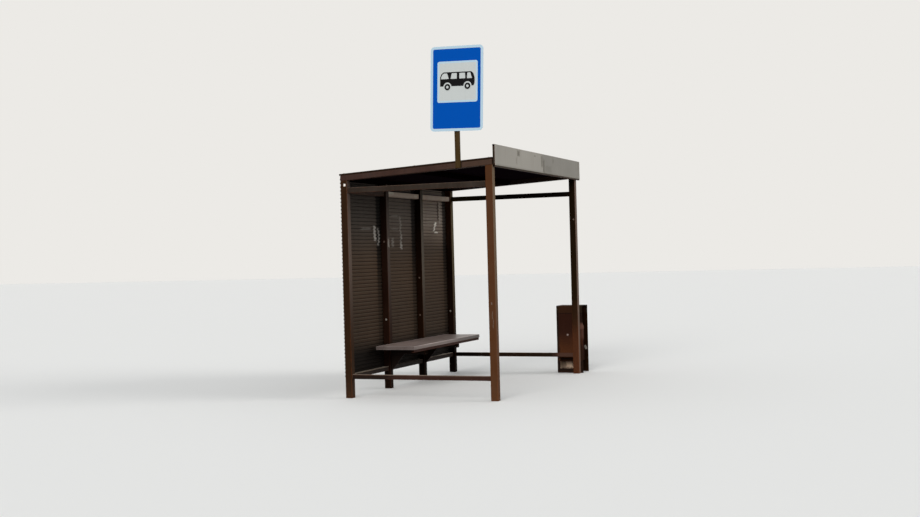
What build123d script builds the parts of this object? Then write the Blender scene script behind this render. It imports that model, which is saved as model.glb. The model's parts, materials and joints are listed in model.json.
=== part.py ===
"""Open-fronted steel bus shelter with a pent roof, bench, litter bin and stop sign.

Millimetres, +Z up. The origin is the centre of the front left post's foot, on the ground.
+X runs along the back wall from the left end to the right end, and +Y runs from the open
front to the back wall. The posts stand on a grid of centre lines.
"""

import os

from build123d import *

# Post grid
BAY = 1000.0
BAY_COUNT = 3
DEPTH = 1720.0
POST = 80.0
POST_WALL = 3.0
POST_CORNER = 7.0
FOOT_PLATE = 6.0

# Pent roof: height of the roof frame's underside at the front face, and its fall to the back
ROOF_UNDERSIDE = 2499.0
ROOF_FALL = 92.0
BEAM_WIDTH = 80.0
BEAM_HEIGHT = 60.0
BEAM_WALL = 3.0
BEAM_CORNER = 7.0
PURLIN_WIDTH = 60.0
ROOF_RIB_HEIGHT = 20.0
ROOF_RIB_PITCH = 110.0
ROOF_RIB_CREST = 30.0
ROOF_RIB_FLANK = 12.0
ROOF_SHEET = 1.0
ROOF_DRIP = 12.0

# Rails between the posts
RAIL_WIDTH = 40.0
WALL_RAIL_DEPTH = 60.0
RAIL_WALL = 2.0
RAIL_CORNER = 5.0
TOP_RAIL_HEIGHT = 60.0
TOP_RAIL_LEVEL = 2302.0
BOTTOM_RAIL_HEIGHT = 50.0
BOTTOM_RAIL_LEVEL = 235.0

# Ribbed wall panels
PANEL_RIB_PITCH = 42.0
PANEL_RIB_DEPTH = 9.0
PANEL_RIB_CREST = 22.0
PANEL_RIB_FLANK = 6.0
PANEL_SHEET = 1.0
PANEL_SIDE_GAP = 1.0
PANEL_END_INSET = 10.0
PANEL_BEAM_COVER = 50.0

# Fascia board over the open front
FASCIA_TUBE = 25.0
FASCIA_TUBE_WALL = 2.0
FASCIA_TUBE_CORNER = 3.0
FASCIA_SHEET = 2.0
FASCIA_BOTTOM = 2478.0
FASCIA_TOP = 2715.0
FASCIA_LIP = 16.0
FASCIA_JOINT = 1600.0
FASCIA_INSET = 25.0
FASCIA_OVERHANG = 65.0

# Bench on two cantilever brackets
SEAT_START = 590.0
SEAT_LENGTH = 2050.0
SEAT_DEPTH = 484.0
SEAT_LEVEL = 525.0
SEAT_THICKNESS = 40.0
SEAT_EDGE_RADIUS = 6.0
SEAT_RAIL = 30.0
SEAT_RAIL_WALL = 2.0
SEAT_RAIL_CORNER = 4.0
SEAT_RAIL_INSET = 6.0
ARM_WIDTH = 60.0
ARM_HEIGHT = 80.0
ARM_WALL = 3.0
ARM_CORNER = 6.0
GUSSET_THICKNESS = 8.0
GUSSET_LENGTH = 170.0
GUSSET_HEIGHT = 200.0

# Litter bin beside the front right post
BIN_WIDTH = 350.0
BIN_DEPTH = 250.0
BIN_OVERHANG = 30.0
BIN_PLATE = 3.0
BIN_SIDE_HEIGHT = 768.0
BIN_CORNER = 25.0
BIN_RETURN = BIN_DEPTH / 2
BIN_LEG = 44.0
BIN_SILL = 50.0
BIN_WINDOW_TOP = 195.0
BIN_FLOOR = 150.0
BIN_END_HEIGHT = 53.0
BIN_LIP_FOOT = 585.0
BIN_FRONT_TOP = 650.0
BIN_LIP_LEAN = 28.0
BIN_FRONT_INSET = 50.0
BIN_BACK_INSET = 30.0
BIN_BEND = 6.0
BIN_HOOD_TOP = 866.0
BIN_HOOD_EDGE = 8.0
BIN_SHEET = 2.0

# Stop sign on a pipe beside the left roof beam
SIGN_PIPE_RADIUS = 30.0
SIGN_PIPE_WALL = 3.5
SIGN_PIPE_PLACE = 333.0
SIGN_PIPE_REACH = 383.0
SIGN_PIPE_CAP = 3.0
SIGN_WIDTH = 600.0
SIGN_HEIGHT = 900.0
SIGN_CORNER = 45.0
SIGN_SHEET = 2.0
SIGN_CENTRE_LEVEL = 3317.0
SIGN_CENTRE_PLACE = 306.0
SIGN_TILT = 2.0
SIGN_CHANNEL_DEPTH = 20.0
SIGN_CHANNEL_HEIGHT = 30.0
SIGN_CHANNEL_LENGTH = 480.0
SIGN_CHANNEL_SPREAD = 290.0
SIGN_CHANNEL_SHEET = 2.0
CLAMP_HEIGHT = 30.0
CLAMP_STRAP = 4.0
CLAMP_EAR = 24.0

# Worked out from the sizes above
HALF_POST = POST / 2
LENGTH = BAY * BAY_COUNT
LEFT_FACE = -HALF_POST
RIGHT_FACE = LENGTH + HALF_POST
FRONT_FACE = -HALF_POST
BACK_FACE = DEPTH + HALF_POST
INNER_BACK = DEPTH - HALF_POST
ROOF_RUN = BACK_FACE - FRONT_FACE


def block(x, y, z):
    """A rectangular solid from its low and high limits along X, Y and Z."""
    size = (x[1] - x[0], y[1] - y[0], z[1] - z[0])
    return Pos((x[0] + x[1]) / 2, (y[0] + y[1]) / 2, (z[0] + z[1]) / 2) * Box(*size)


def inset(limits, wall):
    """The limits of a bore that leaves a wall on both sides."""
    return (limits[0] + wall, limits[1] - wall)


def tube_section(width, height, corner, wall):
    """The outline of a rectangular tube with rounded corners, with its bore taken out."""
    bore = RectangleRounded(width - 2 * wall, height - 2 * wall, corner - wall)
    return RectangleRounded(width, height, corner) - bore


def tube_along_x(x, y, z, wall, corner):
    """A rectangular tube that runs along X, open at both ends."""
    middle = (x[0], (y[0] + y[1]) / 2, (z[0] + z[1]) / 2)
    plane = Plane(origin=middle, x_dir=(0, 1, 0), z_dir=(1, 0, 0))
    section = tube_section(y[1] - y[0], z[1] - z[0], corner, wall)
    return extrude(plane * section, amount=x[1] - x[0])


def tube_along_y(x, y, z, wall, corner):
    """A rectangular tube that runs along Y, open at both ends."""
    middle = ((x[0] + x[1]) / 2, y[0], (z[0] + z[1]) / 2)
    plane = Plane(origin=middle, x_dir=(1, 0, 0), z_dir=(0, 1, 0))
    section = tube_section(x[1] - x[0], z[1] - z[0], corner, wall)
    return extrude(plane * section, amount=y[1] - y[0])


def centred(middle, width):
    """Low and high limits of a width about its middle."""
    return (middle - width / 2, middle + width / 2)


def roof_level(y, lift=0.0):
    """Height of the sloping roof frame at a depth, raised above its underside."""
    return ROOF_UNDERSIDE - ROOF_FALL * (y - FRONT_FACE) / ROOF_RUN + lift


def side_prism(points, x):
    """A side profile of (depth, height) points, extruded from one X to another."""
    profile = Plane.YZ.offset(x[0]) * make_face(Polyline(*points, close=True))
    return extrude(profile, amount=x[1] - x[0], dir=(1, 0, 0))


def down_the_slope(section, overhang=0.0):
    """A section on the front face, extruded down the roof to the back face or past it."""
    slope = Vector(0, ROOF_RUN, -ROOF_FALL) * (1 + overhang / ROOF_RUN)
    return extrude(section, amount=slope.length, dir=slope.normalized())


def rib_path(start, end, pitch, crest, flank, height):
    """Points (run, rise) of trapezoid ribs at an even pitch, starting and ending on a crest."""
    count = max(1, round((end - start - crest) / pitch))
    step = (end - start - crest) / count
    points = []
    for index in range(count + 1):
        left = start + index * step
        if index > 0:
            points.append((left - flank, 0.0))
        points.append((left, height))
        points.append((left + crest, height))
        if index < count:
            points.append((left + crest + flank, 0.0))
    return points


def post(x, y):
    """A square post with a closed foot, cut off to the slope under the roof frame."""
    foot = extrude(RectangleRounded(POST, POST, POST_CORNER), amount=FOOT_PLATE)
    shaft = extrude(tube_section(POST, POST, POST_CORNER, POST_WALL), amount=ROOF_UNDERSIDE)
    depth = centred(y, 2 * POST)
    above = [
        (depth[0], roof_level(depth[0])),
        (depth[1], roof_level(depth[1])),
        (depth[1], ROOF_UNDERSIDE + POST),
        (depth[0], ROOF_UNDERSIDE + POST),
    ]
    return Pos(x, y, 0) * (foot + shaft) - side_prism(above, centred(x, 2 * POST))


def make_posts():
    """Two front posts, and a back post on every line of the grid."""
    back_names = ["back_left_post", "back_mid_left_post", "back_mid_right_post", "back_right_post"]
    posts = {
        "front_left_post": post(0, 0),
        "front_right_post": post(LENGTH, 0),
    }
    for index, name in enumerate(back_names):
        posts[name] = post(index * LENGTH / (len(back_names) - 1), DEPTH)
    return posts


def end_beam(x):
    """A roof beam over one end, with plumb-cut ends, from the front face to the back face."""
    middle = (x, FRONT_FACE, roof_level(FRONT_FACE, BEAM_HEIGHT / 2))
    plane = Plane(origin=middle, x_dir=(1, 0, 0), z_dir=(0, 1, 0))
    section = tube_section(BEAM_WIDTH, BEAM_HEIGHT, BEAM_CORNER, BEAM_WALL)
    return down_the_slope(plane * section)


def beam_outline(y, low, high, corner):
    """A slice of the roof frame with plumb sides and rounded corners, on the YZ plane."""
    corners = [
        (y[0], roof_level(y[0], low)),
        (y[1], roof_level(y[1], low)),
        (y[1], roof_level(y[1], high)),
        (y[0], roof_level(y[0], high)),
    ]
    outline = make_face(Polyline(*corners, close=True))
    return fillet(outline.vertices(), corner)


def cross_beam(y):
    """A roof member that runs between the end beams, over the depth limits given."""
    span = (BEAM_WIDTH / 2, LENGTH - BEAM_WIDTH / 2)
    outside = beam_outline(y, 0, BEAM_HEIGHT, BEAM_CORNER)
    bore = beam_outline(
        inset(y, BEAM_WALL), BEAM_WALL, BEAM_HEIGHT - BEAM_WALL, BEAM_CORNER - BEAM_WALL
    )
    section = Plane.YZ.offset(span[0]) * (outside - bore)
    return extrude(section, amount=span[1] - span[0])


def roof_sheet():
    """Trapezoid sheet with its ribs down the slope and its side edges turned down."""
    rise = ROOF_RIB_HEIGHT - ROOF_SHEET
    path = rib_path(LEFT_FACE, RIGHT_FACE, ROOF_RIB_PITCH, ROOF_RIB_CREST, ROOF_RIB_FLANK, rise)
    level = roof_level(FRONT_FACE, BEAM_HEIGHT)
    lower = [(x, level + z) for x, z in path]
    upper = [(x, z + ROOF_SHEET) for x, z in reversed(lower)]
    profile = make_face(Polyline(*lower, *upper, close=True))
    for side in (LEFT_FACE + ROOF_SHEET / 2, RIGHT_FACE - ROOF_SHEET / 2):
        edge = Rectangle(ROOF_SHEET, ROOF_RIB_HEIGHT)
        profile += Pos(side, level + ROOF_RIB_HEIGHT / 2) * edge
    return down_the_slope(Plane.XZ.offset(-FRONT_FACE) * profile, ROOF_DRIP)


def make_roof():
    """Sloping frame of end beams, front and back beams and a purlin, and the sheet on it."""
    return {
        "left_roof_beam": end_beam(0),
        "right_roof_beam": end_beam(LENGTH),
        "front_roof_beam": cross_beam((FRONT_FACE, FRONT_FACE + BEAM_WIDTH)),
        "back_roof_beam": cross_beam((BACK_FACE - BEAM_WIDTH, BACK_FACE)),
        "roof_purlin": cross_beam(centred(DEPTH / 2, PURLIN_WIDTH)),
        "roof_sheet": roof_sheet(),
    }


def make_end_rails():
    """Top and bottom rails between the front and back posts of both ends."""
    span = (HALF_POST, DEPTH - HALF_POST)
    top = centred(TOP_RAIL_LEVEL, TOP_RAIL_HEIGHT)
    bottom = centred(BOTTOM_RAIL_LEVEL, BOTTOM_RAIL_HEIGHT)
    rails = {}
    for side, x in (("left", 0), ("right", LENGTH)):
        across = centred(x, RAIL_WIDTH)
        rails[side + "_top_rail"] = tube_along_y(across, span, top, RAIL_WALL, RAIL_CORNER)
        rails[side + "_bottom_rail"] = tube_along_y(across, span, bottom, RAIL_WALL, RAIL_CORNER)
    return rails


def wall_panel(x):
    """A sheet with horizontal ribs on the outside of the posts, rails and back beam."""
    foot = BOTTOM_RAIL_LEVEL - BOTTOM_RAIL_HEIGHT / 2
    head = roof_level(BACK_FACE, PANEL_BEAM_COVER)
    path = rib_path(foot, head, PANEL_RIB_PITCH, PANEL_RIB_CREST, PANEL_RIB_FLANK, PANEL_RIB_DEPTH)
    inner = [(BACK_FACE + PANEL_RIB_DEPTH - rise, z) for z, rise in path]
    outer = [(y + PANEL_SHEET, z) for y, z in reversed(inner)]
    return side_prism(inner + outer, x)


def make_wall():
    """Rails between the back posts, and a ribbed panel over each bay that laps the posts."""
    depth = (BACK_FACE - WALL_RAIL_DEPTH, BACK_FACE)
    top = centred(TOP_RAIL_LEVEL, TOP_RAIL_HEIGHT)
    bottom = centred(BOTTOM_RAIL_LEVEL, BOTTOM_RAIL_HEIGHT)
    names = ["left", "middle", "right"]
    bay = LENGTH / len(names)
    wall = {}
    for index, name in enumerate(names):
        span = (index * bay + HALF_POST, (index + 1) * bay - HALF_POST)
        for level, height in (("top", top), ("bottom", bottom)):
            rail = tube_along_x(span, depth, height, RAIL_WALL, RAIL_CORNER)
            wall["back_" + level + "_rail_" + name] = rail
        left = index * bay + PANEL_SIDE_GAP
        right = (index + 1) * bay - PANEL_SIDE_GAP
        if index == 0:
            left = LEFT_FACE + PANEL_END_INSET
        if name == names[-1]:
            right = RIGHT_FACE - PANEL_END_INSET
        wall["back_panel_" + name] = wall_panel((left, right))
    return wall


def fascia_upright(x, y, z):
    """A short square tube that stands between the fascia's rails."""
    section = tube_section(FASCIA_TUBE, FASCIA_TUBE, FASCIA_TUBE_CORNER, FASCIA_TUBE_WALL)
    return Pos(x, (y[0] + y[1]) / 2, z[0]) * extrude(section, amount=z[1] - z[0])


def make_fascia():
    """Tube frame on the front of the roof, faced with two flat sheets."""
    behind = (FRONT_FACE - FASCIA_TUBE, FRONT_FACE)
    length = (LEFT_FACE + FASCIA_INSET, RIGHT_FACE + FASCIA_OVERHANG)
    low = (FASCIA_BOTTOM, FASCIA_BOTTOM + FASCIA_TUBE)
    high = (FASCIA_TOP - FASCIA_TUBE, FASCIA_TOP)
    face = (behind[0] - FASCIA_SHEET, behind[0])
    cover = (FASCIA_BOTTOM + FASCIA_LIP, FASCIA_TOP)
    fascia = {
        "fascia_left": block((length[0], FASCIA_JOINT), face, cover),
        "fascia_right": block((FASCIA_JOINT, length[1]), face, cover),
    }
    for name, level in (("bottom", low), ("top", high)):
        rail = tube_along_x(length, behind, level, FASCIA_TUBE_WALL, FASCIA_TUBE_CORNER)
        fascia["fascia_" + name + "_rail"] = rail
    uprights = {
        "left": length[0] + FASCIA_TUBE / 2,
        "middle": FASCIA_JOINT,
        "right": length[1] - FASCIA_TUBE / 2,
    }
    for name, x in uprights.items():
        fascia["fascia_upright_" + name] = fascia_upright(x, behind, (low[1], high[0]))
    return fascia


def bench_bracket(x):
    """A tube arm on the front of a wall post, with a gusset plate under its root."""
    arm_top = SEAT_LEVEL - SEAT_THICKNESS
    arm_foot = arm_top - ARM_HEIGHT
    tip = INNER_BACK - SEAT_DEPTH + SEAT_RAIL_INSET + SEAT_RAIL
    run = (tip, INNER_BACK)
    arm = tube_along_y(centred(x, ARM_WIDTH), run, (arm_foot, arm_top), ARM_WALL, ARM_CORNER)
    corner = [
        (INNER_BACK, arm_foot),
        (INNER_BACK - GUSSET_LENGTH, arm_foot),
        (INNER_BACK, arm_foot - GUSSET_HEIGHT),
    ]
    return arm + side_prism(corner, centred(x, GUSSET_THICKNESS))


def make_bench():
    """Seat slab against the wall posts, its front rail, and a bracket on each middle post."""
    front = INNER_BACK - SEAT_DEPTH
    length = (SEAT_START, SEAT_START + SEAT_LENGTH)
    underside = SEAT_LEVEL - SEAT_THICKNESS
    seat = block(length, (front, INNER_BACK), (underside, SEAT_LEVEL))
    front_edges = seat.edges().filter_by(Axis.X).group_by(Axis.Y)[0]
    rail_depth = (front + SEAT_RAIL_INSET, front + SEAT_RAIL_INSET + SEAT_RAIL)
    return {
        "bench_seat": fillet(front_edges, SEAT_EDGE_RADIUS),
        "bench_front_rail": tube_along_x(
            inset(length, SEAT_RAIL_INSET),
            rail_depth,
            (underside - SEAT_RAIL, underside),
            SEAT_RAIL_WALL,
            SEAT_RAIL_CORNER,
        ),
        "bench_bracket_left": bench_bracket(BAY),
        "bench_bracket_right": bench_bracket(LENGTH - BAY),
    }


def bin_outline(wall):
    """Plan of the bin inside a wall: square at the front, rounded at its two back corners."""
    x = inset((RIGHT_FACE, RIGHT_FACE + BIN_DEPTH), wall)
    y = (FRONT_FACE - BIN_OVERHANG, FRONT_FACE - BIN_OVERHANG + BIN_WIDTH - wall)
    plan = Pos((x[0] + x[1]) / 2, (y[0] + y[1]) / 2) * Rectangle(x[1] - x[0], y[1] - y[0])
    back_corners = plan.vertices().group_by(Axis.Y)[-1]
    return fillet(back_corners, BIN_CORNER - wall)


def bin_side(x):
    """Half of the bin's casing: a side bent round its back corner to the middle of the back."""
    front = FRONT_FACE - BIN_OVERHANG
    back = front + BIN_WIDTH
    height = (0, BIN_SIDE_HEIGHT)
    casing = extrude(bin_outline(0) - bin_outline(BIN_PLATE), amount=BIN_SIDE_HEIGHT)
    return casing & block(x, (front, back), height)


def bin_window(x):
    """The opening low in the left side, between its two legs and above its sill."""
    depth = (FRONT_FACE - BIN_OVERHANG, FRONT_FACE - BIN_OVERHANG + BIN_WIDTH)
    return block(x, inset(depth, BIN_LEG), (BIN_SILL, BIN_WINDOW_TOP))


def bin_hood():
    """A folded cap on the casing, open at the front above the body."""
    outside = extrude(bin_outline(0), amount=BIN_HOOD_TOP - BIN_SIDE_HEIGHT)
    rim = outside.edges().group_by(Axis.Z)[-1]
    front_edge = rim.sort_by(Axis.Y)[0]
    outside = fillet([edge for edge in rim if edge != front_edge], BIN_HOOD_EDGE)
    inside = extrude(bin_outline(BIN_PLATE), amount=BIN_HOOD_TOP - BIN_SIDE_HEIGHT - BIN_SHEET)
    return Pos(0, 0, BIN_SIDE_HEIGHT) * (outside - inside)


def bin_body(x):
    """Bent sheet with a back, a floor, two low ends and a front whose lip leans in."""
    front = FRONT_FACE - BIN_OVERHANG + BIN_FRONT_INSET
    back = FRONT_FACE - BIN_OVERHANG + BIN_WIDTH - BIN_BACK_INSET
    path = FilletPolyline(
        (back, BIN_SIDE_HEIGHT),
        (back, BIN_FLOOR),
        (front, BIN_FLOOR),
        (front, BIN_LIP_FOOT),
        (front + BIN_LIP_LEAN, BIN_FRONT_TOP),
        radius=BIN_BEND,
    )
    sheet = make_face(offset(path, amount=BIN_SHEET, side=Side.LEFT, kind=Kind.INTERSECTION))
    body = extrude(Plane.YZ.offset(x[0]) * sheet, amount=x[1] - x[0])
    middle = Pos((front + back) / 2, BIN_FLOOR + BIN_END_HEIGHT / 2)
    end = middle * RectangleRounded(back - front, BIN_END_HEIGHT, BIN_BEND)
    for start in (x[0], x[1] - BIN_SHEET):
        body += extrude(Plane.YZ.offset(start) * end, amount=BIN_SHEET)
    return body


def make_bin():
    """Litter bin: a casing of two bent sides, a bent body between them, and a hood."""
    casing = (RIGHT_FACE, RIGHT_FACE + BIN_DEPTH)
    left = (casing[0], casing[0] + BIN_RETURN)
    return {
        "bin_side_left": bin_side(left) - bin_window(left),
        "bin_side_right": bin_side((casing[1] - BIN_RETURN, casing[1])),
        "bin_body": bin_body(inset(casing, BIN_PLATE)),
        "bin_hood": bin_hood(),
    }


def sign_channel(level):
    """A shallow channel across the back of the sign plate, its web against the pipe."""
    web = LEFT_FACE - 2 * SIGN_PIPE_RADIUS
    depth = (web - SIGN_CHANNEL_DEPTH, web)
    run = centred(SIGN_CENTRE_PLACE, SIGN_CHANNEL_LENGTH)
    height = centred(level, SIGN_CHANNEL_HEIGHT)
    hollow = (depth[0], web - SIGN_CHANNEL_SHEET)
    return block(depth, run, height) - block(hollow, run, inset(height, SIGN_CHANNEL_SHEET))


def sign_clamp(level):
    """A flat strap bent round the pipe, with an ear on the channel's web at each side."""
    web = LEFT_FACE - 2 * SIGN_PIPE_RADIUS
    middle = web + SIGN_PIPE_RADIUS
    outer = SIGN_PIPE_RADIUS + CLAMP_STRAP
    height = centred(level, CLAMP_HEIGHT)
    around = Pos(middle, SIGN_PIPE_PLACE, level)
    legs = centred(SIGN_PIPE_PLACE, 2 * outer)
    strap = around * Cylinder(outer, CLAMP_HEIGHT) - block((web - outer, middle), legs, height)
    strap += block((web, middle), legs, height)
    strap += block((web, web + CLAMP_STRAP), (legs[0] - CLAMP_EAR, legs[1] + CLAMP_EAR), height)
    strap -= around * Cylinder(SIGN_PIPE_RADIUS, CLAMP_HEIGHT)
    return strap - block((web, middle), inset(legs, CLAMP_STRAP), height)


def make_sign():
    """Upright pipe on the left roof beam, and the rounded plate that it carries."""
    foot = roof_level(SIGN_PIPE_PLACE)
    length = SIGN_CENTRE_LEVEL + SIGN_PIPE_REACH - foot
    pipe_x = LEFT_FACE - SIGN_PIPE_RADIUS
    bore = Cylinder(SIGN_PIPE_RADIUS - SIGN_PIPE_WALL, length)
    pipe = Cylinder(SIGN_PIPE_RADIUS, length) - Pos(0, 0, -SIGN_PIPE_CAP) * bore
    plate_x = LEFT_FACE - 2 * SIGN_PIPE_RADIUS - SIGN_CHANNEL_DEPTH
    outline = RectangleRounded(SIGN_WIDTH, SIGN_HEIGHT, SIGN_CORNER)
    plate = extrude(Plane.YZ * outline, amount=-SIGN_SHEET)
    centre = Pos(plate_x, SIGN_CENTRE_PLACE, SIGN_CENTRE_LEVEL)
    sign = {
        "sign_post": Pos(pipe_x, SIGN_PIPE_PLACE, foot + length / 2) * pipe,
        "sign_plate": centre * Rot(SIGN_TILT, 0, 0) * plate,
    }
    for name, lift in (("lower", -SIGN_CHANNEL_SPREAD), ("upper", SIGN_CHANNEL_SPREAD)):
        sign["sign_channel_" + name] = sign_channel(SIGN_CENTRE_LEVEL + lift)
        sign["sign_clamp_" + name] = sign_clamp(SIGN_CENTRE_LEVEL + lift)
    return sign


def main():
    """Build every piece and write each one to its own file."""
    os.makedirs("parts", exist_ok=True)
    pieces = {}
    for group in (
        make_posts(),
        make_roof(),
        make_end_rails(),
        make_wall(),
        make_fascia(),
        make_bench(),
        make_bin(),
        make_sign(),
    ):
        pieces.update(group)
    for name, solid in pieces.items():
        export_step(solid, os.path.join("parts", name + ".step"))


main()
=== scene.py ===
"""Finishes, fixings and the stop sign's face of an open-fronted steel bus shelter.

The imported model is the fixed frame. Everything here is in metres, +Z up, with the origin at the
centre of the front left post's foot, +X along the shelter and +Y towards the back wall.
"""

from __future__ import annotations

import json
import logging
import math
from collections.abc import Callable, Iterable, Iterator, Mapping
from contextlib import contextmanager
from dataclasses import dataclass
from enum import Enum
from functools import reduce

import bmesh
import bpy
from mathutils import Matrix, Vector

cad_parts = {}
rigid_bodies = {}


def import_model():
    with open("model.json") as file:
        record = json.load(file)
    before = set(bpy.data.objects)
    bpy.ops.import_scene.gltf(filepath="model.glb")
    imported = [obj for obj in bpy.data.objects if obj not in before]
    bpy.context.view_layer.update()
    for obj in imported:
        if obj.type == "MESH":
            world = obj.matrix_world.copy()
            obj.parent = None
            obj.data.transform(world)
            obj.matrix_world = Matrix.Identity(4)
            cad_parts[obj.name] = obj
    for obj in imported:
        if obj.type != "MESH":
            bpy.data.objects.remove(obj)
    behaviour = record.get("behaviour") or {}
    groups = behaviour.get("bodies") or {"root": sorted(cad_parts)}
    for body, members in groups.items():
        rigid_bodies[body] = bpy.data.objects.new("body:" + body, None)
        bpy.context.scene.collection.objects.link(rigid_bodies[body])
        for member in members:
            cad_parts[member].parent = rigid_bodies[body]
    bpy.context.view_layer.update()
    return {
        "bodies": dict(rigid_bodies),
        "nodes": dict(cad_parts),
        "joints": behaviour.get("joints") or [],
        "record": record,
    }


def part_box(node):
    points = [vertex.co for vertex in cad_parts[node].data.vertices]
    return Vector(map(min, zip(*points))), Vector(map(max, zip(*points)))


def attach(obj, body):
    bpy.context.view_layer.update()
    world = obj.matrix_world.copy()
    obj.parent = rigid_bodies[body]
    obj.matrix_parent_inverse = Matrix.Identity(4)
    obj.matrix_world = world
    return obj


LOG = logging.getLogger("shelter")
BODY = "root"
SMOOTH_ANGLE = math.radians(35)
UNSHADED = 9.0  # a height above the whole part, so that no shade is painted on
LEVEL = 0.9  # how far a face's normal points along Z for the face to count as level
Triple = tuple[float, float, float]
Colour = Triple
Place = tuple[float, float]
Value = object
Piece = bpy.types.Object
Nodes = Mapping[str, Piece]
Socket = bpy.types.NodeSocket
Material = bpy.types.Material


def srgb(red: float, green: float, blue: float) -> Colour:
    """Turns a colour given as 0 to 255 on a screen into the linear colour that a shader takes."""
    parts = (part / 255 for part in (red, green, blue))
    return tuple(p / 12.92 if p <= 0.04045 else ((p + 0.055) / 1.055) ** 2.4 for p in parts)


class Axis(Enum):
    """The row's axes, each with its place in a vector."""

    X = 0
    Y = 1
    Z = 2


class Signal:
    """A value in a node tree that takes part in plain arithmetic."""

    def __init__(self, recipe: Recipe, socket: Socket) -> None:
        """Wraps an output socket of a recipe's tree."""
        self.recipe = recipe
        self.socket = socket

    def __add__(self, other: Value) -> Signal:
        """Sum of the two."""
        return self.recipe.math("ADD", self, other)

    def __sub__(self, other: Value) -> Signal:
        """Difference of the two."""
        return self.recipe.math("SUBTRACT", self, other)

    def __rsub__(self, other: Value) -> Signal:
        """Difference of the two, with this one taken away."""
        return self.recipe.math("SUBTRACT", other, self)

    def __mul__(self, other: Value) -> Signal:
        """Product of the two."""
        return self.recipe.math("MULTIPLY", self, other)

    def __truediv__(self, other: Value) -> Signal:
        """Quotient of the two."""
        return self.recipe.math("DIVIDE", self, other)

    def __abs__(self) -> Signal:
        """Size without its sign."""
        return self.recipe.math("ABSOLUTE", self)

    __radd__ = __add__
    __rmul__ = __mul__

    def most(self, other: Value) -> Signal:
        """The larger of the two."""
        return self.recipe.math("MAXIMUM", self, other)

    def rise(self, low: float, high: float) -> Signal:
        """A soft step.

        Args:
            low: Where the step starts, at 0.
            high: Where it ends, at 1. Below low, the step falls instead.

        Returns:
            The step, from 0 to 1.
        """
        if high < low:
            return 1 - self.rise(high, low)
        settings = {"interpolation_type": "SMOOTHSTEP"}
        return self.recipe.signal("ShaderNodeMapRange", settings, {0: self, 1: low, 2: high})


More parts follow.
